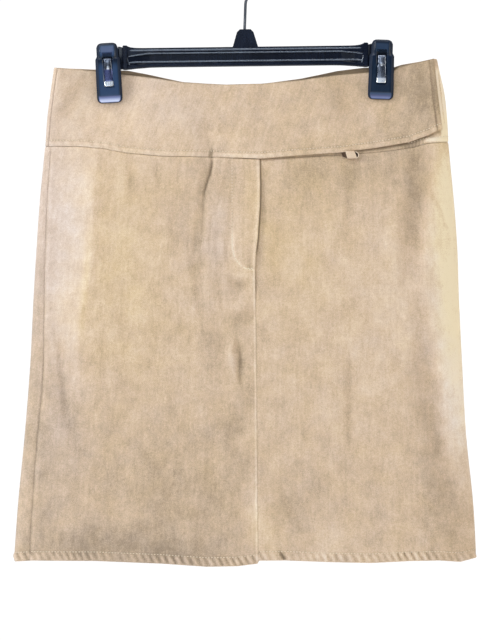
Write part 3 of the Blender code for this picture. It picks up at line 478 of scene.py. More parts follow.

# %% [markdown]
# Brushed cotton looks lighter or darker where its nap lies the other way. Many strokes here, though, are
# painted light and shade: darker in creases and valleys, lighter on ridges and on flanks turned to the
# lights. We note them as strokes too, with the same helper as the creases. One table holds light and dark,
# the other warm and cool.

# %% Strokes of painted light and shade, and of light and dark nap
FRONT_SHADES = (
    # amount, width left, width right, core, points (x, z)
    # the left flank, the tan middle beside it, and the lower left corner
    (-0.50, 20, 13, 8, ((-218, -300), (-214, -360), (-212, -460), (-217, -640))),
    (0.30, 18, 22, 12, ((-124, -195), (-122, -300), (-128, -420))),
    (-0.35, 26, 28, 16, ((-196, -440), (-168, -520), (-140, -600))),
    (-0.85, 14, 13, 9, ((-240, -592), (-196, -596), (-150, -602), (-90, -606), (10, -612))),
    (-0.48, 34, 34, 26, ((-112, -470), (-84, -520), (-40, -545), (20, -570))),
    (-0.35, 9, 9, 6, ((-38, -378), (-34, -400), (-30, -430))),
    (-0.25, 4, 5, 2, ((-118, -205), (-116, -240), (-120, -262))),
    (-0.26, 14, 14, 9, ((-78, -232), (-76, -262), (-80, -290))),
    (-0.32, 18, 16, 10, ((-66, -222), (-36, -230), (-2, -228))),
    # round the fly: painted shade in the pinch, the drag line and the hollows, painted light on the J's ridge
    (-2.2, 0.9, 0.9, 0.4, ((-34.6, -199), (-35.6, -203), (-36.6, -206))),
    (-0.35, 9, 9, 6, ((2, -425), (0, -450), (0, -472))),
    (-0.30, 30, 30, 20, ((56, -512), (84, -540), (110, -556))),
    (-0.30, 24, 24, 14, ((-112, -556), (-84, -572), (-60, -580))),
    (-0.35, 20, 20, 12, ((30, -222), (56, -232), (90, -236))),
    (-0.45, 5, 5, 3, ((22, -124), (48, -118), (78, -112))),
    (-0.30, 2.2, 3, 1.2, ((-35, -196), (-40, -226), (-50, -250))),
    (-0.22, 5, 5, 3, ((-26, -206), (-42, -250), (-50, -310), (-46, -370), (-24, -415))),
    (0.25, 3, 4, 2, ((-22, -236), (-29, -290))),
    (0.95, 1.2, 1.2, 0.6,
     ((-14, -276), (-13.4, -298), (-10.6, -309), (-5.1, -316), (3, -320), (11, -321.5))),
    (-1.10, 1.2, 1.2, 0.6, ((0, -316.6), (4, -318.2), (8, -318))),
    (0.35, 5, 5, 3, ((-18, -308), (-4, -322), (6, -322))),
    (-0.35, 6, 6, 5, ((-18, -330), (-6, -336), (4, -339))),
    (-0.40, 6, 6, 4, ((-14, -372), (-4, -378), (6, -376))),
    (-0.45, 3, 4, 3, ((-9, -386), (-6.5, -412), (-3, -440))),
    (-0.35, 14, 12, 8, ((-28, -466), (-16, -480), (-8, -496))),
    (-0.35, 9, 9, 5, ((-6, -524), (10, -526))),
    # right of the fly
    (-0.45, 16, 16, 9, ((48, -210), (84, -216), (130, -214), (160, -212))),
    (0.20, 18, 18, 10, ((56, -280), (60, -330), (62, -370))),
    (-0.30, 4, 5, 3, ((107, -208), (108, -240), (106, -270))),
    (-0.30, 3, 3, 1, ((104, -398), (105, -450), (104, -504))),
    (0.22, 30, 22, 14, ((112, -290), (124, -400), (116, -520))),
    # painted shade in the valley on the right, and painted light on the cloth that rolls round to the side
    (-0.72, 13, 10, 8, ((173, -186), (177, -226), (174, -262), (168, -304))),
    (0.50, 6, 12, 4, ((201, -182), (205, -236), (208, -280))),
    (-0.55, 1.4, 2.2, 0.5, ((188, -242), (199, -262), (206, -281), (208, -304))),
    (0.55, 1.4, 2.2, 0.5, ((191, -240), (202, -258), (209, -277), (211, -300))),
    (-0.30, 8, 7, 5, ((178, -300), (180, -380), (190, -470), (206, -560))),
    (1.30, 10, 18, 8, ((199, -180), (199, -250), (201, -300), (206, -350), (212, -420), (216, -520))),
    (0.60, 9, 9, 5, ((210, -200), (216, -330), (220, -480))),
    (0.40, 9, 9, 5, ((218, -440), (221, -500), (223, -540))),
    (-0.45, 12, 12, 8, ((182, -486), (188, -540), (212, -596), (224, -630))),
    (-0.25, 16, 16, 9, ((154, -160), (150, -210), (152, -260))),
    (0.35, 14, 10, 8, ((152, -230), (154, -320), (156, -420))),
    (0.30, 12, 12, 8, ((176, -330), (178, -400), (180, -440))),
    (0.30, 24, 24, 12, ((52, -600), (96, -608))),
    (0.45, 10, 12, 6, ((8, -540), (12, -572), (20, -608))),
    (-0.25, 14, 14, 8, ((24, -556), (40, -580), (56, -600))),
    # waistband
    (-1.00, 16, 24, 10, ((178, -86), (182, -118), (182, -150), (172, -184))),
    (-0.25, 8, 8, 5, ((128, -172), (146, -182), (154, -186))),
    (-0.20, 5, 5, 3, ((-164, -130), (-180, -148), (-190, -166))),
    (0.25, 24, 24, 14, ((-196, -110), (-180, -150), (-150, -180))),
    (0.15, 30, 30, 12, ((-150, -150), (-110, -160), (-60, -165))),
    (-0.25, 24, 24, 14, ((20, -145), (80, -140), (160, -140))),
)
BACK_SHADES = (
    (0.35, 30, 30, 14, ((-120, -240), (-126, -340), (-120, -420))),
    (-0.4, 20, 20, 10, ((60, -240), (70, -330), (84, -430))),
    (-0.35, 30, 30, 14, ((-40, -520), (10, -560), (60, -575))),
    (0.4, 14, 16, 8, ((176, -240), (186, -360), (190, -470))),
    (-0.5, 6, 7, 3, ((-60, -225), (-68, -310), (-74, -400))),
)
SHADES = both_sides(FRONT_SHADES, BACK_SHADES)
print("light and dark strokes:", len(SHADES))

# %% Strokes of warm and cool tint: painted window and lamp light, and the nap's own tone
FRONT_WARMTHS = (
    (1.3, 3, 3, 1.5, ((-160, -285), (-161, -312), (-164, -350), (-169, -396))),
    (-1, 13, 10, 8, ((-174, -215), (-173, -260), (-176, -310), (-184, -350))),
    (1.2, 10, 12, 6, ((8, -556), (16, -588), (24, -612))),
    # painted cool light of the window on the left flank
    (-1.6, 30, 22, 18, ((-212, -90), (-210, -200), (-208, -300), (-212, -360))),
    (-0.6, 30, 30, 18, ((-196, -340), (-206, -480), (-214, -640))),
    (1.35, 26, 34, 20, ((-128, -190), (-126, -300), (-128, -400), (-134, -450))),
    (-0.5, 20, 22, 10, ((-74, -240), (-66, -290), (-56, -340))),
    (-1.1, 8, 10, 5, ((-34, -224), (-27, -268), (-28, -312), (-36, -350))),
    (0.9, 7, 5, 4, ((4, -216), (8, -250), (2, -290))),
    (0.9, 8, 8, 5, ((20, -262), (24, -290), (24, -330))),
    (1.3, 4, 12, 4, ((198, -104), (202, -150), (206, -230))),
    (0.9, 30, 30, 16, ((44, -210), (52, -270), (56, -330), (60, -400))),
    # painted warm light of the lamp on the cloth that rolls round to the right
    (2.8, 9, 18, 8, ((203, -180), (202, -240), (205, -300), (212, -400), (216, -440))),
    (-1.2, 14, 16, 8, ((-222, -200), (-216, -330), (-214, -420))),
    (-1, 16, 16, 10, ((-190, -400), (-184, -460), (-190, -540))),
    (-1, 32, 32, 24, ((-160, -132), (-90, -140), (-20, -140))),
    (-0.6, 16, 16, 10, ((180, -260), (186, -360), (196, -460), (212, -600))),
    (0.4, 20, 20, 8, ((30, -222), (90, -226), (104, -240))),
    (-0.9, 18, 18, 12, ((-220, -588), (-160, -604), (-70, -610), (0, -616))),
    (-0.3, 40, 40, 20, ((-40, -580), (100, -590))),
)
BACK_WARMTHS = (
    (0.4, 40, 40, 20, ((-120, -260), (-120, -440))),
    (-0.4, 40, 40, 20, ((120, -300), (110, -520))),
)
WARMTHS = both_sides(FRONT_WARMTHS, BACK_WARMTHS)
print("warm and cool strokes:", len(WARMTHS))

# %% All the strokes together
# Left of this line (z, x) the flank is lighter: painted light from the window, with a sharp border.
LIT_FLANK_BORDER = (
    (-190, -152), (-250, -156), (-318, -156.5), (-340, -162), (-365, -167.5),
    (-410, -171), (-460, -174), (-500, -182),
)


def left_of_border(front, x, z):
    """1 just left of the border, fading to nothing at its right and towards the top and the hem."""
    line = along(LIT_FLANK_BORDER, z)
    side = 1 - smoothstep(-1.5, 2.5, x - line)
    reach = 1 - 0.9 * smoothstep(24, 52, line - x)
    down = smoothstep(-480, -350, z) * (1 - 0.55 * smoothstep(-235, -190, z))
    return np.where(front & (z < -195), side * reach * down, 0.0)


def nap_and_painted_light(strokes, front, x, z):
    """Strokes summed; light and dark also get painted shade in creases and painted light on the flank."""
    if strokes is WARMTHS:
        total = np.zeros(x.shape)
    else:
        # painted shade in the creases and painted light on their crests
        painted_lighting = creases(front, x, z, as_painted_shade=True) * smoothstep(2.0, 9.0, read_rings(u_at(x, z), z)[1])
        total = 0.6 * left_of_border(front, x, z) + np.clip(0.42 * painted_lighting, -0.9, 0.45)
    for at_front, amount, left_width, right_width, core, points in strokes:
        near = front == at_front
        if near.any():
            total[near] += amount * stroke(x[near], z[near], points, left_width, right_width, core)
    return total


flank = left_of_border(np.array([True]), np.array([-190.0]), np.array([-300.0]))
print("the left flank is lighter by", round(0.6 * float(flank[0]), 2))

# %% [markdown]
# ## A sewn piece from a grid
# Each piece starts as a flat grid, as if it were still cloth on the cutting table, and a formula carries
# every point to its place on the tube. The grid keeps its own flat coordinates as a UV map, so that the nap
# can follow the cloth. A Solidify modifier gives the cloth its thickness on the inside, and a small Bevel
# rounds the cut edges. Two more maps, shade and warmth, keep painted light and shade and the nap's tone.

# %% One cut of cloth, with its four edges
EDGE_SPAN = 210.0


class Cut:
    """left and right give u for an array of z, top and bottom give z for an array of u, and lift gives
    millimetres outwards for a place on the cloth. The last argument gives painted light and shade there."""

    def __init__(self, left, right, top, bottom, lift, painted_shading=None):
        self.left, self.right, self.top, self.bottom = left, right, top, bottom
        self.lift, self.painted_shading = lift, painted_shading

    def place(self, u, z):
        at = SimpleNamespace(u=u, z=z)
        at.x, _, at.front = read_rings(u, z)
        at.from_left = (u - self.left(z)) * EDGE_SPAN
        at.from_right = (self.right(z) - u) * EDGE_SPAN
        at.from_top = self.top(u) - z
        at.from_bottom = z - self.bottom(u)
        return at

    def surface(self, u, z, extra=0.0):
        return on_cloth(u, z, self.lift(self.place(u, z)) + extra)


def roll_in(distance, depth=0.5, width=1.8):
    """A sewn edge dips towards its seam over its last millimetres."""
    return -depth * (1 - smoothstep(0, width, distance)) ** 1.5


print("a seam dips by", -float(roll_in(np.array(0.0))), "mm")


# %% From a mesh to a piece of the part
def as_mesh(bm, name):
    mesh = bpy.data.meshes.new(name)
    bm.to_mesh(mesh)
    bm.free()
    return mesh


def placed_mesh(bm, name, place):
    """A smooth mesh whose faces point outwards, brought from millimetres to its place on the part."""
    bmesh.ops.recalc_face_normals(bm, faces=bm.faces)
    bmesh.ops.transform(bm, matrix=Matrix.Scale(MM, 4) @ place, verts=bm.verts)
    mesh = as_mesh(bm, name)
    mesh.shade_smooth()
    return mesh


def into_scene(name, data):
    thing = bpy.data.objects.new(name, data)
    bpy.context.scene.collection.objects.link(thing)
    return thing


def finish_piece(mesh, name, material, nodes=()):
    """Puts a mesh into the scene as a piece that rides on the part."""
    piece = into_scene(name, mesh)
    mesh.materials.clear()
    mesh.materials.append(material)
    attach(piece, "root")
    for node in nodes:
        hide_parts(node)
    return piece


def give_wall(piece, thickness, offset):
    """A wall of so many millimetres: -1 lays it all on the inside, 0 shares it between both sides."""
    wall = piece.modifiers.new("wall", "SOLIDIFY")
    wall.thickness = thickness * MM
    wall.offset = offset
    return wall


# %% A grid on the cutting table
FOLD_RADIUS = (HEM_T + HEM_RIDGE) / 2


def spread(length, step, dense=()):
    """Fractions from 0 to 1, a step apart, and closer in each dense stretch (from, to, step)."""
    places = [0.0]
    while places[-1] < length - step * 0.5:
        here = places[-1]
        size = min([step] + [s for a, b, s in dense if a - 1e-6 <= here < b])
        places.append(here + size)
    return np.array(places) / places[-1]


def table_grid(name, column_count, row_count):
    """A flat grid, with the numbers of each point's column and row."""
    bm = bmesh.new()
    bm.loops.layers.uv.new("cloth")
    bmesh.ops.create_grid(bm, x_segments=column_count - 1, y_segments=row_count - 1, size=1.0)
    mesh = as_mesh(bm, name)
    flat = np.empty(len(mesh.vertices) * 3)
    mesh.vertices.foreach_get("co", flat)
    flat = flat.reshape(-1, 3)
    column = np.rint((flat[:, 0] + 1) / 2 * (column_count - 1)).astype(int)
    row = np.rint((1 - flat[:, 1]) / 2 * (row_count - 1)).astype(int)
    return mesh, column, row


def turn_up(rows, turned):
    """Adds the rows of a turned hem, and tells how far past its fold each row lies."""
    beyond = np.zeros(len(rows))
    if not turned:
        return rows, beyond
    arc = math.pi * FOLD_RADIUS
    extra = np.concatenate([np.linspace(0, arc, 9)[1:], arc + np.linspace(0, turned, 6)[1:]])
    return np.concatenate([rows, np.ones(len(extra))]), np.concatenate([beyond, extra])


print("a strip of 10 mm in steps of 3 mm:", [round(float(f), 2) for f in spread(10.0, 3.0)])

# %% Maps for the nap
TABLE_SPAN = 0.215


def write_maps(mesh, cut, at, u, z_on_table, past_fold):
    """The cloth's flat coordinates as a UV map, and its nap, painted light and shade as two attributes."""
    wide = np.stack([u * TABLE_SPAN, z_on_table * MM], axis=-1)
    corners = np.empty(len(mesh.loops), dtype=np.int32)
    mesh.loops.foreach_get("vertex_index", corners)
    mesh.uv_layers["cloth"].uv.foreach_set("vector", wide[corners].ravel())
    for label, strokes in (("shade", SHADES), ("warmth", WARMTHS)):
        values = nap_and_painted_light(strokes, at.front, at.x, at.z)
        if label == "shade" and cut.painted_shading is not None:
            values = values + cut.painted_shading(at) * ~past_fold
        mesh.attributes.new(label, "FLOAT", "POINT").data.foreach_set("value", values)


# %% From the table to the tube
def sewn_piece(name, cut, columns, rows, thickness, material, node, turned=0.0, inside=None):
    """columns and rows are fractions from 0 to 1. A turned hem runs on round its fold and up the inside."""
    rows, beyond = turn_up(rows, turned)
    mesh, column, row = table_grid(name, len(columns), len(rows))
    s, t, over = np.asarray(columns)[column], np.asarray(rows)[row], beyond[row]
    fold = FOLD_RADIUS if turned else 0.0
    z = np.full(len(s), -300.0)
    for _ in range(4):
        u = cut.left(z) * (1 - s) + cut.right(z) * s
        z = cut.top(u) * (1 - t) + (cut.bottom(u) + fold) * t
    at = cut.place(u, z)
    angle = np.clip(over / FOLD_RADIUS, 0, math.pi)
    up = np.maximum(over - math.pi * FOLD_RADIUS, 0)
    past_fold = over > 0
    z_fold = np.where(past_fold, z - FOLD_RADIUS * np.sin(angle) + up, z)
    lift = cut.lift(at)
    lift = np.where(past_fold, lift - FOLD_RADIUS * (1 - np.cos(angle)), lift)
    u = cut.left(z_fold) * (1 - s) + cut.right(z_fold) * s
    mesh.vertices.foreach_set("co", (on_cloth(u, z_fold, lift) * MM).ravel())
    write_maps(mesh, cut, at, u, z - over, past_fold)
    mesh.shade_smooth()
    mesh.update()
    area = sum(face.area for face in mesh.polygons)
    piece = finish_piece(mesh, name, material, (node,))
    wall = give_wall(piece, thickness, -1)
    if inside is not None:
        mesh.materials.append(inside)
        wall.material_offset = 1
    edge = piece.modifiers.new("edge", "BEVEL")
    edge.width = 0.35 * MM
    edge.segments = 2
    edge.limit_method = "ANGLE"
    edge.angle_limit = math.radians(55)
    print(name, len(columns) - 1, "x", len(rows) - 1, "cells, cloth area", round(area, 4), "m2")
    return piece


# %% [markdown]
# ## Brushed cotton
# The nap is short fibre brushed up from a twill ground. Close to, it is a faint weave under fine fuzz; from
# a step back it is soft blotches and downward streaks. The colour, the weave and the fuzz are one node
# group, because the panels, the bands and the loop all use it with values of their own. Sheen is a single
# number on the shader, so it stays on the shader.

# %% Nodes and their links, in one call each
def new_group(name, inputs, outputs):
    tree = bpy.data.node_groups.new(name, "ShaderNodeTree")
    for label, kind, value in inputs:
        socket = tree.interface.new_socket(label, in_out="INPUT", socket_type=kind)
        if value is not None:
            socket.default_value = value
    for label, kind in outputs:
        tree.interface.new_socket(label, in_out="OUTPUT", socket_type=kind)
    return tree, tree.nodes.new("NodeGroupInput"), tree.nodes.new("NodeGroupOutput")


def math_node(tree, operation, a, b=None, clamp=False):
    node = tree.nodes.new("ShaderNodeMath")
    node.operation = operation
    node.use_clamp = clamp
    for socket, value in zip(node.inputs, (a, b)):
        if value is None:
            continue
        if isinstance(value, (int, float)):
            socket.default_value = value
        else:
            tree.links.new(value, socket)
    return node.outputs[0]


def noise_node(tree, vector, stretch, detail=3.0, rough=0.55, shift=0.0):
    """Noise whose grains are stretch = (1/across, 1/down, 1/deep) in metres."""
    place = tree.nodes.new("ShaderNodeMapping")
    place.inputs["Scale"].default_value = stretch
    place.inputs["Location"].default_value = (shift, shift * 0.7, shift * 1.3)
    tree.links.new(vector, place.inputs["Vector"])
    node = tree.nodes.new("ShaderNodeTexNoise")
    node.inputs["Scale"].default_value = 1.0
    node.inputs["Detail"].default_value = detail
    node.inputs["Roughness"].default_value = rough
    tree.links.new(place.outputs[0], node.inputs["Vector"])
    return node.outputs["Fac"]


def ramp_node(tree, value, stops):
    node = tree.nodes.new("ShaderNodeValToRGB")
    node.color_ramp.interpolation = "LINEAR"
    while len(node.color_ramp.elements) < len(stops):
        node.color_ramp.elements.new(0.5)
    for element, (place, colour) in zip(node.color_ramp.elements, stops):
        element.position = place
        element.color = (*colour, 1)
    tree.links.new(value, node.inputs["Fac"])
    return node.outputs["Color"]


def mix_colour(tree, share, a, b, blend="MIX"):
    node = tree.nodes.new("ShaderNodeMix")
    node.data_type = "RGBA"
    node.blend_type = blend
    for index, value in ((0, share), (6, a), (7, b)):
        socket = node.inputs[index]
        if isinstance(value, (int, float)):
            socket.default_value = value
        elif isinstance(value, tuple):
            socket.default_value = (*value, 1)
        else:
            tree.links.new(value, socket)
    return node.outputs[2]


def marked(tree, name):
    """The value of a piece's own named map, which is 0 where the piece has no such map."""
    node = tree.nodes.new("ShaderNodeAttribute")
    node.attribute_name = name
    return node.outputs["Fac"]


def bump_into(tree, shader, height, strength, distance):
    """The height stands out of the surface by up to distance metres."""
    bump = tree.nodes.new("ShaderNodeBump")
    bump.inputs["Strength"].default_value = strength
    bump.inputs["Distance"].default_value = distance
    tree.links.new(height, bump.inputs["Height"])
    tree.links.new(bump.outputs["Normal"], shader.inputs["Normal"])


# %% The nap's colour and its relief
NAP_COLOURS = (
    (0, (0.315, 0.232, 0.148)), (0.30, (0.508, 0.376, 0.250)), (0.50, (0.640, 0.473, 0.323)),
    (0.72, (0.745, 0.583, 0.424)), (1, (0.870, 0.740, 0.590)),
)
COOL_TINT, WARM_TINT = (0.945, 0.985, 1.13), (1.0, 0.985, 0.84)


def nap_and_painted_shade_colour(tree, level, warmth, tone):
    """Painted shade to painted light, with the nap's tone; cooler or warmer by strokes and a slow drift."""
    colour = ramp_node(tree, level, NAP_COLOURS)
    drift = math_node(tree, "MULTIPLY", math_node(tree, "SUBTRACT", tone, 0.5), 3.2)
    warm = math_node(tree, "ADD", warmth, drift)
    cool_share = math_node(tree, "MULTIPLY", warm, -0.5, clamp=True)
    warm_share = math_node(tree, "MULTIPLY", warm, 0.5, clamp=True)
    colour = mix_colour(tree, cool_share, colour, COOL_TINT, "MULTIPLY")
    return mix_colour(tree, warm_share, colour, WARM_TINT, "MULTIPLY")


def nap_height(tree, vector, mottle):
    """Diagonal twill, fine fuzz and the blotches of the nap."""
    twill = tree.nodes.new("ShaderNodeTexWave")
    twill.bands_direction = "DIAGONAL"
    twill.inputs["Scale"].default_value = 330.0
    twill.inputs["Distortion"].default_value = 1.5
    twill.inputs["Detail"].default_value = 1.0
    tree.links.new(vector, twill.inputs["Vector"])
    fuzz = noise_node(tree, vector, (2400.0, 1500.0, 2000.0), 2.0, 0.7, 5.5)
    height = math_node(tree, "MULTIPLY", twill.outputs["Fac"], 0.25)
    height = math_node(tree, "ADD", height, math_node(tree, "MULTIPLY", fuzz, 0.5))
    return math_node(tree, "ADD", height, math_node(tree, "MULTIPLY", mottle, 3.0))


print("the nap's colours:", len(NAP_COLOURS))


# %% The nap's node group
def build_nap_group():
    tree, inp, out = new_group(
        "brushed nap",
        (
            ("Vector", "NodeSocketVector", None),
            ("Shade", "NodeSocketFloat", 0.0),
            ("Warmth", "NodeSocketFloat", 0.0),
            ("Contrast", "NodeSocketFloat", 1.0),
        ),
        (("Color", "NodeSocketColor"), ("Roughness", "NodeSocketFloat"), ("Height", "NodeSocketFloat")),
    )
    vector = inp.outputs["Vector"]
    mottle = noise_node(tree, vector, (52.0, 40.0, 50.0), 6.5, 0.86)
    streak = noise_node(tree, vector, (330.0, 38.0, 100.0), 3.0, 0.6, 7.7)
    speck = noise_node(tree, vector, (1150.0, 950.0, 800.0), 1.5, 0.6, 1.3)
    tone = noise_node(tree, vector, (44.0, 36.0, 40.0), 4.0, 0.6, 3.1)
    total = None
    for source, weight in ((mottle, 1.05), (streak, 0.30), (speck, 0.62)):
        part = math_node(tree, "MULTIPLY", math_node(tree, "SUBTRACT", source, 0.5), weight)
        total = part if total is None else math_node(tree, "ADD", total, part)
    total = math_node(tree, "MULTIPLY", total, inp.outputs["Contrast"])
    shade = math_node(tree, "MULTIPLY", inp.outputs["Shade"], 0.32)
    level = math_node(tree, "ADD", math_node(tree, "ADD", total, shade), 0.5, clamp=True)
    colour = nap_and_painted_shade_colour(tree, level, inp.outputs["Warmth"], tone)
    tree.links.new(colour, out.inputs["Color"])
    rough = math_node(tree, "ADD", math_node(tree, "MULTIPLY", speck, 0.16), 0.82, clamp=True)
    tree.links.new(rough, out.inputs["Roughness"])
    tree.links.new(nap_height(tree, vector, mottle), out.inputs["Height"])
    return tree


NAP = build_nap_group()
print("node group:", NAP.name, "with", len(NAP.nodes), "nodes")


# %% The cotton materials
def shaded_material(name):
    material = bpy.data.materials.new(name)
    material.use_nodes = True
    return material, material.node_tree, material.node_tree.nodes["Principled BSDF"]


def cotton(name, turn=0.0, shift=(0.0, 0.0), contrast=1.0, painted_shade_inside=False):
    """Brushed cotton; turn and shift lay the cloth another way on the cutting table. The wrong side is
    painted darker all over, as painted shade on the inside."""
    material, tree, shader = shaded_material(name)
    uv = tree.nodes.new("ShaderNodeUVMap")
    uv.uv_map = "cloth"
    lay = tree.nodes.new("ShaderNodeMapping")
    lay.inputs["Rotation"].default_value = (0, 0, turn)
    lay.inputs["Location"].default_value = (*shift, 0)
    tree.links.new(uv.outputs["UV"], lay.inputs["Vector"])
    nap = tree.nodes.new("ShaderNodeGroup")
    nap.node_tree = NAP
    nap.inputs["Contrast"].default_value = contrast
    tree.links.new(lay.outputs[0], nap.inputs["Vector"])
    # painted shade for the wrong side; on the other pieces the strokes are linked in over it
    nap.inputs["Shade"].default_value = -1.7
    if not painted_shade_inside:
        for label in ("shade", "warmth"):
            tree.links.new(marked(tree, label), nap.inputs[label.capitalize()])
    tree.links.new(nap.outputs["Color"], shader.inputs["Base Color"])
    tree.links.new(nap.outputs["Roughness"], shader.inputs["Roughness"])
    bump_into(tree, shader, nap.outputs["Height"], 0.5, 0.0006)
    shader.inputs["Sheen Weight"].default_value = 0.35
    shader.inputs["Sheen Roughness"].default_value = 0.5
    shader.inputs["Sheen Tint"].default_value = (1.0, 0.95, 0.88, 1)
    shader.inputs["Specular IOR Level"].default_value = 0.15
    return material


panel_left_cotton = cotton("cotton left front")
panel_right_cotton = cotton("cotton right front", 0.02, (0.4, 0.1))
panel_back_cotton = cotton("cotton back", -0.015, (0.9, 0.3))
band_cotton = cotton("cotton waistband", 0.35, (0.2, 0.6))
band_under_cotton = cotton("cotton lower band", -0.3, (0.7, 0.2))
band_back_cotton = cotton("cotton back band", 0.2, (0.5, 0.9))
inside_cotton_painted_shade = cotton("cotton inside, painted shade", 0.0, (0.8, 0.4), 1.0, painted_shade_inside=True)
print("cotton materials made")

# %% [markdown]
# ## The skirt's three panels
# Left front, right front and back are sewn at the sides and down the centre. At the bottom each is turned up
# ten millimetres and stitched, and the stitching has drawn the hem into slanting ripples, as it does when
# the two layers creep. We model the turned hem as real cloth: the grid runs on round the fold and up inside.

# %% Edges shared by the panels
GAP, SEAM_U = 0.1, 0.0003
FLY_LIFT, FLY_RAMP, FLY_BOTTOM_Z, FLY_UNDERLAP = 1.5, 24.0, -321.0, 6.0


def edge_row(front, back, seed_z, shift=0.0):
    """A row that follows an edge across the cloth, on whichever half u is."""

    def row(u):
        x, _, on_front = read_rings(u, np.full(np.shape(u), seed_z))
        return np.where(on_front, along(front, x), along(back, x)) + shift

    return row


def left_side_seam(z):
    z = np.asarray(z, float)
    left = np.interp(-z, -RING_Z, RINGS["front"][0][:, 0])
    return u_at(left + along(LEFT_SEAM_INSET, z), z)


def right_side_seam(z):
    z = np.asarray(z, float)
    right = np.interp(-z, -RING_Z, RINGS["front"][0][:, -1])
    return u_at(right - RIGHT_SEAM_INSET, z, "back")


def centre_seam(z, shift):
    return u_at(along(CENTRE_SEAM, z) + shift, z)


def right_front_edge(z):
    """The right front runs on below the fly, and stops at the centre seam lower down."""
    under = 1 - smoothstep(-FLY_BOTTOM_Z - 30, -FLY_BOTTOM_Z - 10, -np.asarray(z, float))
    return centre_seam(z, GAP / 2 - (FLY_UNDERLAP + GAP / 2) * under)


panel_top = edge_row(BAND_SEAM, BACK_SEAM, -200.0, -GAP / 2)
panel_hem = edge_row(FRONT_HEM, BACK_HEM, -618.0)
seams_u = [round(float(seam(-400.0)), 3) for seam in (left_side_seam, right_side_seam)]
print("side seams at 400 mm down: u", seams_u)


# %% The turned hem and the gathered top
def hem_ripples(at):
    """Slanting ripples between the hem's stitching and its fold, uneven in size and distance."""
    run = at.x + at.from_bottom * 0.55
    warp = run + 2.2 * np.sin(run / 31.0) + 1.3 * np.sin(run / 13.0 + 1.0)
    size = 0.65 + 0.35 * np.sin(run / 47.0 + 0.7) * np.sin(run / 19.0 + 2.0)
    wave = np.sin(warp * 2 * math.pi / 7.6)
    ripple = np.where(wave > 0, wave, 1.25 * wave)
    window = smoothstep(-2, 2, at.from_bottom) * (1 - smoothstep(6.5, 11, at.from_bottom))
    deep = 2.6 * bell(at.x + 0.62 * (at.from_bottom - 5.0) - 37.0, 1.9) * at.front
    return (0.85 * size * ripple - deep) * window


def hem_ridge(at):
    return HEM_RIDGE * (1 - smoothstep(HEM_DEPTH - 0.4, HEM_DEPTH + 1.6, at.from_bottom))


def hem_groove(at):
    """The stitching pulls the cloth in along its line."""
    return -0.5 * bell(at.from_bottom - HEM_DEPTH + 0.8, 1.3)


def top_gathers(at):
    """Small upright puckers where a panel is eased into the band."""
    run = at.x + 2.5 * np.sin(at.x / 23.0)
    size = 0.5 + 0.5 * np.sin(at.x / 37.0 + 1.2)
    return 0.22 * size * np.sin(run * 2 * math.pi / 8.4) * np.exp(-((at.from_top / 7.0) ** 2))


def panel_lift(at):
    lift = hem_ridge(at) + hem_ripples(at) + hem_groove(at) + top_gathers(at)
    return lift + roll_in(at.from_top, 0.7, 2.4)


print("the hem stands out by", HEM_RIDGE, "mm over its", HEM_DEPTH, "mm")

# %% [markdown]
# ## The fly
# The left front laps over the right one and hides the zip, and a J of topstitching holds its facing. The lap
# could be a flap of its own, but then a join would show. Instead a formula lifts the left front's edge up a
# ramp, by a little more than the cloth below it, and lets it down again under the fly.

# %% The fly's lap
J_STITCH = (
    # z, x
    (-206, -13.7), (-236, -13.7), (-296, -13.7), (-306, -11.8), (-312, -8.5), (-316.5, -5.1),
    (-320.5, 2.9), (-321.2, 9),
)


def left_front_lift(at):
    """The left front climbs over the other front as far as the fly goes, then joins the plain seam."""
    edge = along(CENTRE_SEAM, at.z) - FLY_UNDERLAP - 2
    climb = smoothstep(edge - FLY_RAMP, edge, at.x)
    below = 1 - smoothstep(-FLY_BOTTOM_Z + 9, -FLY_BOTTOM_Z + 40, -at.z)
    open_fly = 1 - smoothstep(-FLY_BOTTOM_Z - 10, -FLY_BOTTOM_Z + 4, -at.z)
    seam = roll_in(at.from_right, 0.3, 1.4) * (1 - 0.4 * open_fly)
    stitch_gap = at.x - along(J_STITCH, at.z)
    hook = (at.x > -6) & (at.x < 10)
    groove = -0.3 * bell(stitch_gap, 1.3) * (at.z > -321) - 0.25 * bell(at.z + 319, 1.6) * hook
    topstitch = -0.15 * bell(at.from_right - 5.5, 1.2) * (1 - open_fly)
    gape = 1.3 * smoothstep(6, 0.5, at.from_right) * open_fly * smoothstep(-212, -222, at.z)
    lap = FLY_LIFT * climb * below
    return panel_lift(at) + lap + seam + groove + topstitch + gape + roll_in(at.from_left, 0.5, 2)


def right_front_lift(at):
    below = smoothstep(-FLY_BOTTOM_Z - 4, -FLY_BOTTOM_Z + 10, -at.z)
    return panel_lift(at) + roll_in(at.from_left, 0.3, 1.4) * below + roll_in(at.from_right, 0.5, 2)


def back_lift(at):
    return panel_lift(at) + roll_in(at.from_left, 0.5, 2) + roll_in(at.from_right, 0.5, 2)


print("the fly's edge stands out by", FLY_LIFT, "mm")

# %% [markdown]
# ## Painted light and shade along the edges
# Crests and edges are painted paler, as painted light, and the cloth in a seam or an opening is painted
# darker, as painted shade. A mask made from the mesh's own curvature would treat every crease alike, so
# each edge gets a small formula instead, which is added to the strokes.

# %% Painted light and shade on the panels' edges
def panel_painted_shading(at):
    """Hem crests painted light; troughs, the needle's line and the seam to the band painted shade."""
    pricked = -0.35 * bell(at.from_bottom - HEM_DEPTH + 0.6, 0.9)
    return hem_ripples(at) + 0.2 * hem_ridge(at) + pricked - 0.5 * bell(at.from_top, 0.9)


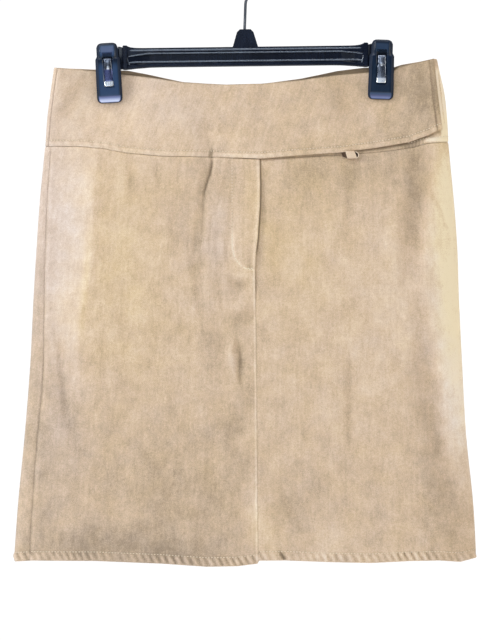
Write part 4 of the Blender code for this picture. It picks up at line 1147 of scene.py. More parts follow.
def left_front_painted_shading(at):
    """Painted light along the fly's edge and beside the centre seam; painted shade in the side seam."""
    open_fly = 1 - smoothstep(-FLY_BOTTOM_Z - 10, -FLY_BOTTOM_Z + 4, -at.z)
    lap = 0.8 * open_fly * bell(at.from_right - 1.8, 1.3)
    edge = lap + 0.9 * (1 - open_fly) * bell(at.from_right - 1.3, 0.8)
    return panel_painted_shading(at) + edge - 0.7 * bell(at.from_left, 1.1) + 0.3 * bell(at.from_left - 3, 1.5)


def right_front_painted_shadow(at):
    """Painted shadow just beyond the fly's edge in the opening, and painted shade along the seam below."""
    beyond = at.x - along(CENTRE_SEAM, at.z)
    opening = 1 - smoothstep(-FLY_BOTTOM_Z - 24, -FLY_BOTTOM_Z - 12, -at.z)
    return panel_painted_shading(at) - 2.8 * bell(beyond - 0.6, 0.65) * opening - 0.5 * bell(beyond, 0.7) * (1 - opening)


print("three formulas for the panels' rubbed edges")

# %% The three cuts
left_front_cut = Cut(
    lambda z: left_side_seam(z) + SEAM_U, lambda z: centre_seam(z, -GAP / 2),
    panel_top, panel_hem, left_front_lift, left_front_painted_shading,
)
right_front_cut = Cut(
    right_front_edge, lambda z: right_side_seam(z) - SEAM_U,
    panel_top, panel_hem, right_front_lift, right_front_painted_shadow,
)
back_cut = Cut(
    lambda z: right_side_seam(z) + SEAM_U, lambda z: left_side_seam(z) + 4 - SEAM_U,
    panel_top, panel_hem, back_lift, panel_painted_shading,
)
print("three cuts ready")

# %% Sew the three panels
PANEL_ROWS = spread(413.0, 2.3, ((0.0, 5.0, 0.9), (398.0, 413.0, 1.0)))
skirt_front_left = sewn_piece(
    "skirt_left_front", left_front_cut,
    spread(226.0, 1.7, ((0.0, 4.0, 0.8), (138.0, 222.0, 1.2), (222.0, 226.0, 0.7))), PANEL_ROWS,
    PANEL_T, panel_left_cotton, "skirt_front_left", turned=HEM_DEPTH, inside=inside_cotton_painted_shade,
)
skirt_front_right = sewn_piece(
    "skirt_right_front", right_front_cut, spread(246.0, 1.7, ((0.0, 10.0, 0.7), (206.0, 226.0, 1.3))),
    PANEL_ROWS, PANEL_T, panel_right_cotton, "skirt_front_right", turned=HEM_DEPTH,
    inside=inside_cotton_painted_shade,
)
skirt_back = sewn_piece(
    "skirt_rear", back_cut, spread(440.0, 2.3, ((0.0, 4.0, 0.8), (416.0, 440.0, 1.4))),
    spread(413.0, 2.8, ((0.0, 4.0, 1.0), (398.0, 413.0, 1.3))), PANEL_T, panel_back_cotton,
    "skirt_back", turned=HEM_DEPTH, inside=inside_cotton_painted_shade,
)

# %% [markdown]
# ## The waistband
# Three double strips make the band: the back's, the lower one on the right front, and the long wrap-over
# that covers it and ends in a free edge. The wrap-over climbs as it passes the fly and stays lifted off the
# tube from there on, over the lower band. Its stitching stands six millimetres above its lower edge.

# %% The band's edges
BAND_LEFT_SEAM_U, BAND_RIGHT_SEAM_U, UNDER_END_X = -0.972, 1.03, 8.0
OVER_END_X, OVER_END_LEAN, OVERLAP_GAP = 192.0, 0.115, 0.6
over_bottom = edge_row(OVER_EDGE, OVER_EDGE, -195.0, GAP / 2)
over_top = edge_row(FRONT_TOP, FRONT_TOP, -115.0)
band_top = edge_row(FRONT_TOP, BACK_TOP, -115.0)
band_bottom = edge_row(BAND_SEAM, BACK_SEAM, -200.0, GAP / 2)


def over_end(z):
    return u_at(OVER_END_X - OVER_END_LEAN * (z - FRONT_TOP[-1][1]), z)


def level_u(value):
    return lambda z: np.full(np.shape(z), value, float)


print("the wrap-over ends at x", OVER_END_X, "and leans by", OVER_END_LEAN)


# %% How the band stands off the tube
def edge_puckers(at, distance, wave=9.0, size=0.2):
    """Puckers between an edge and its stitching, leaning as the foot of the machine pushed them."""
    run = at.x + distance * 0.5 + 2.0 * np.sin(at.x / 17.0)
    strength = 0.5 + 0.5 * np.sin(at.x / 29.0 + 0.4)
    return size * strength * np.sin(run * 2 * math.pi / wave) * np.exp(-(((distance - 3.0) / 5.0) ** 2))


def over_lift(at):
    base = (BAND_T + OVERLAP_GAP) * smoothstep(UNDER_END_X - 30, UNDER_END_X - 4, at.x)
    puckers = edge_puckers(at, at.from_bottom) * (1 + 0.9 * smoothstep(60, 150, at.x))
    stitch = -0.35 * bell(at.from_bottom - 6, 1.2) + 0.3 * bell(at.from_bottom - 2.8, 1.8) + puckers
    end = -0.7 * bell(at.from_right - 5, 1)
    soft = roll_in(at.from_bottom, 0.35, 1.6) + roll_in(at.from_top, 0.35, 2)
    sides = roll_in(at.from_right, 0.4, 2) + roll_in(at.from_left, 0.5, 2)
    return base + stitch + end + soft + sides


def band_lift(at):
    rolls = [roll_in(edge, 0.4, 2) for edge in (at.from_left, at.from_right)]
    rolls += [roll_in(at.from_bottom, 0.4, 1.6), roll_in(at.from_top, 0.35, 2)]
    return sum(rolls) - 0.2 * bell(at.from_bottom - 6, 1.2) + edge_puckers(at, at.from_bottom, 8.0, 0.12)


print("the wrap-over lies", BAND_T + OVERLAP_GAP, "mm above the lower band's own face")


# %% Painted light and shade on the band
def over_painted_shading(at):
    """Painted light on the welt and puckers; painted shade at the needle's line, top edge and folded end."""
    middle = smoothstep(-36, -18, at.x) * (1 - smoothstep(16, 36, at.x))
    welt = (0.3 + 0.5 * middle) * bell(at.from_bottom - 2.6, 1.9) + 0.45 * bell(at.from_bottom - 0.9, 0.7)
    pricked = -0.35 * bell(at.from_bottom - 5.9, 0.8)
    lower = smoothstep(-118, -140, at.z)
    end = -1.5 * bell(at.from_right - 5.2, 0.8) * (0.35 + 0.65 * lower) - 0.3 * bell(at.from_right - 3, 2)
    return welt + pricked + end + 1.3 * edge_puckers(at, at.from_bottom) - 1.3 * bell(at.from_top, 0.8)


def under_painted_shading(at):
    """Lower band: painted shadow under the wrap-over and its end, painted light on the roll and past it."""
    below_over = along(OVER_EDGE, at.x) - at.z
    shadow = -(0.5 + 0.9 * smoothstep(90, 150, at.x)) * bell(below_over - 0.7, 1) * (at.x < 199)
    roll = 1.7 * smoothstep(174, 186, at.x) * bell(at.from_bottom - 3.4, 2.4)
    # painted shade between the small puckers
    puckers = -1.2 * (0.5 + 0.5 * np.sin(at.x * 2 * math.pi / 3.6)) * smoothstep(150, 168, at.x)
    beyond = at.x - OVER_END_X + OVER_END_LEAN * (at.z - FRONT_TOP[-1][1])
    side = 2.5 * smoothstep(-1.5, 0.2, beyond) * smoothstep(-108, -120, at.z)
    line = -2.0 * bell(beyond - 3.4, 0.6) * smoothstep(-112, -124, at.z) * (at.z > -172)
    lower = (at.from_bottom < 9) * (at.x < 184)
    return (shadow + roll + puckers * lower + side + line) * at.front


print("two formulas for the band, whose back is left even")

# %% The band's three cuts
over_cut = Cut(level_u(BAND_LEFT_SEAM_U + SEAM_U), over_end, over_top, over_bottom, over_lift, over_painted_shading)
under_cut = Cut(
    lambda z: u_at(np.full(np.shape(z), UNDER_END_X), z), level_u(BAND_RIGHT_SEAM_U - SEAM_U),
    band_top, band_bottom, band_lift, under_painted_shading,
)
band_back_cut = Cut(
    level_u(BAND_RIGHT_SEAM_U + SEAM_U), level_u(BAND_LEFT_SEAM_U + 4 - SEAM_U),
    band_top, band_bottom, band_lift,
)
print("three cuts for the band")

# %% Sew the band
BAND_ROWS = spread(78.0, 2.0, ((0.0, 3.0, 0.8), (68.0, 78.0, 0.8)))
band_over = sewn_piece(
    "waistband_wrap_over", over_cut, spread(392.0, 2.0, ((380.0, 392.0, 0.7),)), BAND_ROWS, BAND_T,
    band_cotton, "band_wrap_over", inside=inside_cotton_painted_shade,
)
band_under = sewn_piece(
    "waistband_lower", under_cut, spread(204.0, 2.4, ((140.0, 186.0, 1.1), (186.0, 204.0, 0.9))),
    BAND_ROWS, BAND_T, band_under_cotton, "band_under", inside=inside_cotton_painted_shade,
)
band_rear = sewn_piece(
    "waistband_rear", band_back_cut, spread(400.0, 2.6, ((384.0, 400.0, 1.2),)), BAND_ROWS, BAND_T,
    band_back_cotton, "band_back", inside=inside_cotton_painted_shade,
)

# %% [markdown]
# ## Stitching
# Thread is what tells the eye that cloth was sewn. One stitch is a tiny stretched sphere of a few dozen
# faces, laid again and again along a seam, each time turned to the cloth's own slope. All the stitches of
# one cut make a single piece.

# %% One stitch
STITCH_LENGTH, STITCH_PITCH, THREAD_WIDE, THREAD_HIGH = 2.2, 3.1, 0.85, 0.75


def stitch_mesh():
    bm = bmesh.new()
    bmesh.ops.create_uvsphere(bm, u_segments=6, v_segments=4, radius=0.5)
    bmesh.ops.rotate(bm, cent=(0, 0, 0), matrix=Matrix.Rotation(math.pi / 2, 3, "Y"), verts=bm.verts)
    bmesh.ops.scale(bm, vec=(STITCH_LENGTH, THREAD_WIDE, THREAD_HIGH), verts=bm.verts)
    return as_mesh(bm, "one_stitch")


ONE_STITCH = stitch_mesh()
print("faces in a stitch:", len(ONE_STITCH.polygons))

# %% Rows of stitches
THREAD_LIFT = 0.16


def sew(name, cut, lines, material):
    """Sews each line, given as arrays of u and z, with stitches an even pitch apart."""
    bm = bmesh.new()
    count = 0
    for u, z in lines:
        points = cut.surface(u, z, THREAD_LIFT)
        length = run_along(*points.T)
        at = np.arange(STITCH_PITCH / 2, length[-1], STITCH_PITCH)
        centre = np.stack([np.interp(at, length, points[:, k]) for k in range(3)], axis=-1)
        ahead = np.stack([np.interp(at + 0.6, length, points[:, k]) for k in range(3)], axis=-1)
        behind = np.stack([np.interp(at - 0.6, length, points[:, k]) for k in range(3)], axis=-1)
        out = cloth_normal(np.interp(at, length, u), np.interp(at, length, z), relief=False)
        for c, a, b, n in zip(centre, ahead, behind, out):
            along_it = Vector(a - b).normalized()
            side = Vector(n).cross(along_it).normalized()
            up = along_it.cross(side)
            turn = Matrix((along_it, side, up)).transposed().to_4x4()
            turn.translation = Vector(c)
            ONE_STITCH.transform(turn)
            bm.from_mesh(ONE_STITCH)
            ONE_STITCH.transform(turn.inverted())
            count += 1
    bmesh.ops.scale(bm, vec=(MM, MM, MM), verts=bm.verts)
    mesh = as_mesh(bm, name)
    mesh.shade_smooth()
    print(name, count, "stitches")
    return finish_piece(mesh, name, material)


def across(cut, height, from_u=None, count=700):
    """A line that keeps its height above a cut's lower edge."""
    z = np.full(count, -300.0)
    for _ in range(3):
        start = cut.left(z) if from_u is None else np.full(count, from_u)
        u = start + (cut.right(z) - start) * np.linspace(0.004, 0.996, count)
        z = cut.bottom(u) + height
    return u, z


# %% The thread
def thread_material(name, colour):
    material, tree, shader = shaded_material(name)
    place = tree.nodes.new("ShaderNodeTexCoord")
    twist = noise_node(tree, place.outputs["Object"], (1400.0, 1400.0, 1400.0), 2.0, 0.6)
    dark, light = tuple(c * 0.72 for c in colour), tuple(min(c * 1.15, 1) for c in colour)
    tree.links.new(ramp_node(tree, twist, ((0.3, dark), (0.7, light))), shader.inputs["Base Color"])
    bump_into(tree, shader, twist, 0.4, 0.0001)
    shader.inputs["Roughness"].default_value = 0.7
    shader.inputs["Sheen Weight"].default_value = 0.2
    return material


thread = thread_material("sewing thread", (0.80, 0.67, 0.49))
fly_thread = thread_material("fly topstitch", (0.90, 0.79, 0.61))
# the same thread painted darker, as painted shade where the end's stitching sinks into its groove
thread_in_painted_shade = thread_material("thread sunk in the fold, painted shade", (0.42, 0.29, 0.18))
print("threads:", [each.name for each in (thread, fly_thread, thread_in_painted_shade)])

# %% The J of the fly
fly_z, fly_x = np.array(J_STITCH).T
fly_run = run_along(fly_z, fly_x)
fly_steps = np.linspace(0, fly_run[-1], 300)
fly_down, fly_across = np.interp(fly_steps, fly_run, fly_z), np.interp(fly_steps, fly_run, fly_x)
fly_line = (u_at(fly_across, fly_down), fly_down)
curved = fly_down < -284.0
straight_part = tuple(line[~curved] for line in fly_line)
curved_part = tuple(line[curved] for line in fly_line)
tack_z = np.full(12, -319.4)
tack_line = (u_at(np.linspace(-1.5, 8.0, 12), tack_z), tack_z)
print("the J is", round(float(fly_run[-1])), "mm long")

# %% Sew the seams
HEM_STITCH, BAND_STITCH, UNDER_STITCH, END_STITCH = 9.2, 6.2, 5.5, 5.0
left_hem = across(left_front_cut, HEM_STITCH)
threads_left = sew("thread_left_front", left_front_cut, [left_hem, straight_part], thread)
threads_fly = sew("thread_fly_curve", left_front_cut, [curved_part, tack_line], fly_thread)
threads_right = sew("thread_right_front", right_front_cut, [across(right_front_cut, HEM_STITCH)], thread)
threads_back = sew("thread_back", back_cut, [across(back_cut, HEM_STITCH, count=1200)], thread)
end_z = np.linspace(-111.0, -176.0, 200)
end_line = (over_end(end_z) - END_STITCH / EDGE_SPAN, end_z)
threads_over = sew("thread_wrap_over", over_cut, [across(over_cut, BAND_STITCH)], thread)
threads_end = sew("thread_wrap_over_end", over_cut, [end_line], thread_in_painted_shade)
under_line = across(under_cut, UNDER_STITCH, from_u=0.78, count=300)
threads_under = sew("thread_lower_band", under_cut, [under_line], thread)
rear_line = across(band_back_cut, BAND_STITCH, count=1000)
threads_rear = sew("thread_back_band", band_back_cut, [rear_line], thread)

# %% [markdown]
# ## Plastic and steel
# The hanger is black injection-moulded plastic, with springs of steel and a plated wire hook. A plain
# colour would look like a drawing. One node group gives the faint scuffs and grain that all of them share,
# and maps on the pieces tell where plastic and steel carry painted highlights, where the plastic is dull,
# and where the left spring carries a painted blue reflection. The bar and the hook have the right shape
# already, so their solids stay and only get a finish.

# %% Scuffs and grain, as a node group
def build_wear_group():
    tree, inp, out = new_group(
        "moulded wear",
        (("Vector", "NodeSocketVector", None), ("Grain", "NodeSocketFloat", 1.0)),
        (("Mask", "NodeSocketFloat"), ("Height", "NodeSocketFloat")),
    )
    vector = inp.outputs["Vector"]
    scuff = noise_node(tree, vector, (900.0, 90.0, 60.0), 3.0, 0.6, 2.0)
    cloud = noise_node(tree, vector, (60.0, 60.0, 60.0), 3.0, 0.6, 9.0)
    grain = noise_node(tree, vector, (2600.0, 2600.0, 2600.0), 2.0, 0.6, 4.0)
    mask = math_node(tree, "MULTIPLY", scuff, cloud)
    tree.links.new(mask, out.inputs["Mask"])
    height = math_node(tree, "MULTIPLY", grain, inp.outputs["Grain"])
    tree.links.new(height, out.inputs["Height"])
    return tree


WEAR = build_wear_group()
print("node group:", WEAR.name, "with", len(WEAR.nodes), "nodes")


# %% A worn finish, with painted highlights
def wear_and_painted_light_finish(name, colours, roughness, metallic, bump_mm, specular, coat=0.0, painted_blue_reflection=None, painted_highlight=()):
    """A finish from two colours and a range of roughness. It reads three maps that a piece may have: one
    paints a blue reflection, one paints highlights in paler colours, and dull takes the shine off."""
    material, tree, shader = shaded_material(name)
    place = tree.nodes.new("ShaderNodeTexCoord")
    wear = tree.nodes.new("ShaderNodeGroup")
    wear.node_tree = WEAR
    tree.links.new(place.outputs["Object"], wear.inputs["Vector"])
    colour = ramp_node(tree, wear.outputs["Mask"], ((0.12, colours[0]), (0.42, colours[1])))
    if painted_blue_reflection is not None:
        colour = mix_colour(tree, marked(tree, "painted_blue_reflection"), colour, painted_blue_reflection)
    if painted_highlight:
        painted_lighting = marked(tree, "painted_lighting")
        showing = math_node(tree, "MULTIPLY", painted_lighting, 12.0, clamp=True)
        colour = mix_colour(tree, showing, colour, ramp_node(tree, painted_lighting, painted_highlight))
    tree.links.new(colour, shader.inputs["Base Color"])
    low, high = roughness
    rough = math_node(tree, "MULTIPLY", wear.outputs["Mask"], (high - low) * 2.5)
    rough = math_node(tree, "ADD", rough, math_node(tree, "MULTIPLY", marked(tree, "dull"), 0.6))
    tree.links.new(math_node(tree, "ADD", rough, low, clamp=True), shader.inputs["Roughness"])
    shader.inputs["Metallic"].default_value = metallic
    shader.inputs["Specular IOR Level"].default_value = specular
    shader.inputs["Coat Weight"].default_value = coat
    shader.inputs["Coat Roughness"].default_value = 0.12
    bump_into(tree, shader, wear.outputs["Height"], 0.1, bump_mm * MM)
    return material


BAR_BLACK = ((0.002, 0.004, 0.011), (0.004, 0.009, 0.024))
# the clips' black, bluer and paler than the bar's as part of the painted blue reflection
CLIP_BLACK = ((0.003, 0.008, 0.020), (0.007, 0.018, 0.044))
# paler than the bar's black, as painted highlight along the ribs
RIB_PAINTED_HIGHLIGHT = ((0.035, 0.050, 0.075), (0.090, 0.120, 0.165))
WIRE_GREY = ((0.34, 0.37, 0.41), (0.68, 0.71, 0.74))
# the blue on the left spring's lower leg is a painted reflection of the blue cards
SPRING_GREY, BLUE_REFLECTION_PAINT = ((0.07, 0.085, 0.12), (0.42, 0.46, 0.54)), (0.16, 0.19, 0.42)
# paler colours for the painted highlights, the window's reflection on the clips
PAINTED_HIGHLIGHT = (
    (0, (0.005, 0.013, 0.024)), (0.25, (0.032, 0.064, 0.138)), (0.40, (0.075, 0.088, 0.19)),
    (0.60, (0.19, 0.24, 0.46)), (1, (0.66, 0.73, 0.95)),
)
SPRING_PAINTED_SHINE = ((0.0, (0.42, 0.46, 0.54)), (1.0, (0.90, 0.94, 0.96)))
bar_plastic = wear_and_painted_light_finish("hanger plastic", BAR_BLACK, (0.12, 0.22), 0.0, 0.01, 0.35)
rib_plastic_painted_highlight = wear_and_painted_light_finish("rib, painted highlight", RIB_PAINTED_HIGHLIGHT, (0.22, 0.34), 0.0, 0.01, 0.9, 0.6)
clip_plastic = wear_and_painted_light_finish("clip plastic", CLIP_BLACK, (0.16, 0.24), 0.0, 0.008, 0.35, painted_highlight=PAINTED_HIGHLIGHT)
spring_steel = wear_and_painted_light_finish("spring steel", SPRING_GREY, (0.20, 0.34), 1.0, 0.005, 0.5, 0.0, BLUE_REFLECTION_PAINT, SPRING_PAINTED_SHINE)
hook_steel = wear_and_painted_light_finish("plated wire", WIRE_GREY, (0.12, 0.24), 1.0, 0.004, 0.5)
for node, finish in (("hanger_bar", bar_plastic), ("hook", hook_steel)):
    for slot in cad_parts[node].material_slots:
        slot.material = finish
print("finished the bar and the hook")

# %% [markdown]
# ## The clips' jaws
# The solids of the clips are plain slabs. A real moulded jaw has a raised cap, a slot and a channel for the
# spring, and rounded sides that catch the light. We could cut the slots with booleans, but their edges would
# stay sharp. Each jaw is a relief instead: a grid whose depth is a formula, with its border extruded back and
# closed.

# %% Where the clips sit
TONGUE_Z, CLIP_TOP, CLIP_LEAN_DEG, BAR_TILT_DEG = -108.2, 20.6, 2.6, 0.7
BAR_MIDDLE_Z = (-92.9 - 112.6) / 2
JAW_LONG, LEFT_CLIP_X, RIGHT_CLIP_X = 61.0, -140.6, 139.0
tilt = math.radians(BAR_TILT_DEG)
HANGER_PLACE = Matrix.Translation((BAR_MIDDLE_Z * math.sin(tilt), 0, 0)) @ Matrix.Rotation(-tilt, 4, "Y")


def clip_place(centre_x, turned):
    lean = math.copysign(math.radians(CLIP_LEAN_DEG), centre_x)
    place = HANGER_PLACE @ Matrix.Translation((centre_x, 0, TONGUE_Z)) @ Matrix.Rotation(lean, 4, "Y")
    return place @ Matrix.Rotation(math.pi, 4, "Z") if turned else place


CLIP_OUTLINE = (
    # down from the top, half width
    (0, 6.6), (0.6, 8.4), (1.6, 9.6), (4.6, 10.9), (13.6, 10.9), (16.6, 12.5), (46, 13),
    (56.0, 13.0), (58.6, 12.4), (60.4, 10.8), (JAW_LONG, 8.4),
)
left_top = clip_place(LEFT_CLIP_X, False) @ Vector((0, 0, CLIP_TOP))
print("left clip's top at", [round(v, 1) for v in left_top])


# %% A jaw's relief
def jaw_relief(x, down, half_wide, pad_y):
    """Depth of the jaw's outer face; more negative is nearer the viewer."""
    face = np.interp(
        down,
        (0.0, 1.6, 3.0, 9.0, 11.0, 22.0, 36.0, 53.0, 59.4, JAW_LONG),
        (-8.4, -9.7, -10.0, -10.6, -10.6, -10.3, -9.2, pad_y - 4.9, pad_y - 2.4, pad_y - 1.4),
    )
    body = face + 0.5 * smoothstep(15, 18, down) * (1 - smoothstep(30, 50, down))
    edge = half_wide - np.abs(x)
    body = body + 1.9 * (1 - smoothstep(0, 3, edge)) ** 1.6
    cap = (1 - smoothstep(7.2, 8.8, np.abs(x))) * (1 - smoothstep(14.5, 16.5, down))
    shoulders = 1.5 * (1 - cap) * (1 - smoothstep(15, 17, down))
    body = body + shoulders
    inside = 1 - smoothstep(4.6, 5.2, np.abs(x))
    channel = inside * smoothstep(15.6, 16.4, down) * (1 - smoothstep(44.6, 46.2, down))
    slot = inside * smoothstep(10.2, 10.8, down) * (1 - smoothstep(15.8, 16.6, down))
    return body + 1.1 * channel + 4.6 * slot


def jaw_back(down, pad_y):
    return np.interp(down, (0, 8, 15.1, 25.8, 27.0, JAW_LONG), (-5.4, -5.4, -3.3, -3.3, pad_y, pad_y))


cap_depth = float(jaw_back(9.0, -2.1) - jaw_relief(0.0, 9.0, 10.9, -2.1))
print("a jaw's cap is", round(cap_depth, 1), "mm thick")


# %% Where a jaw carries painted highlights
def mark(mesh, name, values):
    mesh.attributes.new(name, "FLOAT", "POINT").data.foreach_set("value", [float(value) for value in values])


def jaw_painted_highlight(x, down, half_wide):
    """Painted highlights on the jaw: soft on the cap and the body, bright on the bevel at the foot."""
    side = half_wide - np.abs(x)
    cap = 0.30 * smoothstep(1, 5, down) * (1 - smoothstep(11, 16, down))
    cap = cap * (1 - smoothstep(5.0, 9.5, np.abs(x)))
    body = 0.21 * smoothstep(1.2, 4.6, side) * smoothstep(17, 26, down)
    foot = smoothstep(53, 54.6, down) * (1 - smoothstep(59.9, 60.6, down)) * smoothstep(1, 2.6, side)
    return np.maximum(cap + body, foot * (0.45 + 0.55 * smoothstep(54, 59.6, down)))


def jaw_marks(points, pad_y, on_right):
    """Painted highlight and dullness at the points of a jaw. The right clip gets less painted highlight."""
    down = CLIP_TOP - points[:, 2]
    half_wide = np.interp(down, *zip(*CLIP_OUTLINE))
    on_face = points[:, 1] < jaw_back(down, pad_y) - 1.0
    painted_highlight = jaw_painted_highlight(points[:, 0], down, half_wide) * on_face
    if on_right:
        painted_highlight = np.maximum(0.62 * painted_highlight - 0.08, 0.124 * painted_highlight)
    side = half_wide - np.abs(points[:, 0])
    return painted_highlight, 1 - smoothstep(1.2, 3.4, side) * smoothstep(0.4, 1.8, down)


print("how pale a jaw's foot is:", round(float(jaw_painted_highlight(0.0, 59.0, 12.0)), 2))


# %% One jaw, four times
def clip_jaw(name, node, centre_x, pad_y, turned):
    bm = bmesh.new()
    bmesh.ops.create_grid(bm, x_segments=56, y_segments=128, size=1.0)
    rim = [edge for edge in bm.edges if edge.is_boundary]
    flat = np.array([vertex.co[:] for vertex in bm.verts])
    down = (1 - flat[:, 1]) / 2 * JAW_LONG
    half_wide = np.interp(down, *zip(*CLIP_OUTLINE))
    x = flat[:, 0] * half_wide
    y = jaw_relief(x, down, half_wide, pad_y)
    for vertex, place in zip(bm.verts, np.stack([x, y, CLIP_TOP - down], axis=-1)):
        vertex.co = place
    made = bmesh.ops.extrude_edge_only(bm, edges=rim)
    back = [v for v in made["geom"] if isinstance(v, bmesh.types.BMVert)]
    for vertex in back:
        vertex.co.y = float(jaw_back(CLIP_TOP - vertex.co.z, pad_y))
    back_rim = [edge for edge in bm.edges if edge.is_boundary]
    bmesh.ops.edgenet_fill(bm, edges=back_rim)
    painted_lighting, dull = jaw_marks(np.array([vertex.co[:] for vertex in bm.verts]), pad_y, centre_x > 0)
    mesh = placed_mesh(bm, name, clip_place(centre_x, turned))
    # painted highlights on the cap, body and foot, stronger on the left clip
    mark(mesh, "painted_lighting", painted_lighting)
    mark(mesh, "dull", dull)
    mesh.set_sharp_from_angle(angle=math.radians(75))
    return finish_piece(mesh, name, clip_plastic, (node,))


PADS = {("left", "front"): -2.1, ("left", "back"): -2.1, ("right", "front"): -4.3, ("right", "back"): -2.1}
for (side, jaw), pad in PADS.items():
    centre = LEFT_CLIP_X if side == "left" else RIGHT_CLIP_X
    clip_jaw(f"jaw_{side}_{jaw}", f"clip_{side}_{jaw}", centre, pad, jaw == "back")
print("four clip jaws")

# %% [markdown]
# ## The springs
# A spring is one strip of steel, bent over the middle of both jaws. It comes out through each slot, runs down
# the channel and ends in a turned-out lip. A curve with a profile would keep one width, so we bend a grid
# along the line instead, which lets its neck narrow and a dimple rise. A Solidify modifier makes it a strip.

# %% A strip bent over both jaws
def spring_leg(pad_y, sign):
    """Half of the spring from the side: out through the slot, down the channel, and a turned-out lip."""
    out = 0.7
    return [
        (0.0, -14.9), (sign * 5.6, -15.0), (sign * 7.4, -15.5), (sign * (8.4 + out), -16.6),
        (sign * (8.9 + out), -18.6), (sign * (8.9 + out), -21.0), (sign * (-pad_y + 4.5 + out), -38.6),
        (sign * (-pad_y + 4.9 + out), -39.6), (sign * (-pad_y + 6.3 + out), -44.2),
    ]


def clip_spring(name, node, centre_x, front_pad, back_pad):
    line = [*reversed(spring_leg(front_pad, -1)), *spring_leg(back_pad, 1)[1:]]
    line = np.array([(y, CLIP_TOP + z) for y, z in line])
    run = run_along(*line.T)
    bm = bmesh.new()
    bmesh.ops.create_grid(bm, x_segments=12, y_segments=150, size=1.0)
    for vertex in bm.verts:
        s = (vertex.co.y + 1) / 2 * run[-1]
        y, z = np.interp(s, run, line[:, 0]), np.interp(s, run, line[:, 1])
        down = CLIP_TOP - z
        neck = 4.1 - 0.7 * float(bell(down - 20, 3.4)) - 0.5 * float(bell(down - 25.6, 1.2))
        neck += 0.5 * float(smoothstep(38, 39.5, down) * (1 - smoothstep(42, 44.4, down)))
        x = vertex.co.x * neck
        crown = 0.35 * (1 - vertex.co.x**2) * float(smoothstep(15, 20, down))
        dimple = 0.7 * float(bell(math.hypot(x, down - 25.4), 1.3))
        outward = -1 if y < 0 else 1
        vertex.co = Vector((x, y + outward * (crown + dimple), z))
    seen = np.array([vertex.co[:] for vertex in bm.verts])
    down = CLIP_TOP - seen[:, 2]
    lip = smoothstep(39.2, 40.2, down)
    dimple = bell(np.hypot(seen[:, 0], down - 25.4), 1.0)
    leg = smoothstep(26.5, 28, down) * (1 - lip)
    mesh = placed_mesh(bm, name, clip_place(centre_x, False))
    # painted highlights on the lip and the dimple; a painted blue reflection on the left spring's lower leg
    # only
    mark(mesh, "painted_lighting", np.maximum(lip, dimple))
    mark(mesh, "painted_blue_reflection", leg * (0.0 if centre_x > 0 else 0.9))
    piece = finish_piece(mesh, name, spring_steel, (node,))
    give_wall(piece, 0.7, 0)


clip_spring("spring_left", "clip_left_spring", LEFT_CLIP_X, -2.1, -2.1)
clip_spring("spring_right", "clip_right_spring", RIGHT_CLIP_X, -4.3, -2.1)
print("two springs")

# %% [markdown]
# ## The bar's ribs
# Thin raised ribs run along the bar, and they are what catches the light on it. A bevelled curve would have
# the same round section, but square ends. We roll a grid into a tube along each rib's line instead, and let
# it close to a point at both ends.

# %% Tubes along the ribs
def moulded_rib(name, points, y, high, deep):
    """A long rounded rib through points (x, z) on the bar's front or back."""
    points = np.array(points, float)
    run = run_along(*points.T)
    step = 0.5

    def on_rib(at):
        return np.array([np.interp(at, run, points[:, k]) for k in (0, 1)])

    bm = bmesh.new()
    bmesh.ops.create_grid(bm, x_segments=160, y_segments=12, size=1.0)
    for vertex in bm.verts:
        s, angle = vertex.co.x, vertex.co.y * math.pi
        at = (s + 1) / 2 * run[-1]
        x, z = on_rib(at)
        ahead = on_rib(at + step) - on_rib(at - step)
        end = math.sqrt(max(1 - abs(s) ** 40, 0.0))
        aside = high * end * math.sin(angle) / math.hypot(*ahead)
        vertex.co = Vector((x - ahead[1] * aside, y + deep * end * math.cos(angle), z + ahead[0] * aside))
    bmesh.ops.remove_doubles(bm, verts=bm.verts, dist=0.002)
    return finish_piece(placed_mesh(bm, name, HANGER_PLACE), name, rib_plastic_painted_highlight, ())


def both_ways(points):
    """Points given from the middle to the right end, mirrored to the left as well."""
    return [(-x, z) for x, z in reversed(points)] + list(points)


RIM = ((122.6, -93.0), (122.0, -97.0), (121.4, -102.0), (119.6, -107.0), (118.6, -110.5))
for face, y in (("front", -4.4), ("back", 4.4)):
    inward = math.copysign(1, -y)
    moulded_rib(f"rib_top_{face}", both_ways([(2, -95.4), (119, -95.4)]), y, 0.85, 0.5)
    upper = [(2, -98.6), (98, -98.6), (104, -99.3), (112, -100.2), (117, -101.0), (121, -101.8)]
    moulded_rib(f"rib_upper_{face}", both_ways(upper), y + 0.3 * inward, 0.7, 0.45)
    lower = [(2, -107.2), (112, -107.3), (118, -107.8), (121, -108.4)]
    moulded_rib(f"rib_lower_{face}", both_ways(lower), y + 0.1 * inward, 0.8, 0.5)
    for end, side in ((-1, "left"), (1, "right")):
        rim = [(end * x, z) for x, z in RIM]
        moulded_rib(f"rib_end_{side}_{face}", rim, y + 0.1 * inward, 0.6, 0.5)
print("ten ribs")

# %% [markdown]
# ## The bar's ends
# The bar thickens into a block where each clip slides on. A cube is enough for it: scaled, its inner upper
# corner lowered, and all its edges bevelled, because a moulded edge is never sharp.

# %% Two blocks
def bar_end(name, side):
    """The thick block between the bar's last rib and a clip, with rounded edges."""
    bm = bmesh.new()
    bmesh.ops.create_cube(bm, size=1.0)
    bmesh.ops.scale(bm, vec=(7.4, 6.6, 23.6), verts=bm.verts)
    bmesh.ops.translate(bm, vec=(side * 126.4, 0, -102.6), verts=bm.verts)
    for vertex in bm.verts:
        if vertex.co.z > -100 and abs(vertex.co.x) < 125:
            vertex.co.z -= 1.8
    bmesh.ops.bevel(bm, geom=list(bm.edges), offset=1.0, affect="EDGES", segments=3, profile=0.5, material=-1)
    return finish_piece(placed_mesh(bm, name, HANGER_PLACE), name, bar_plastic, ())


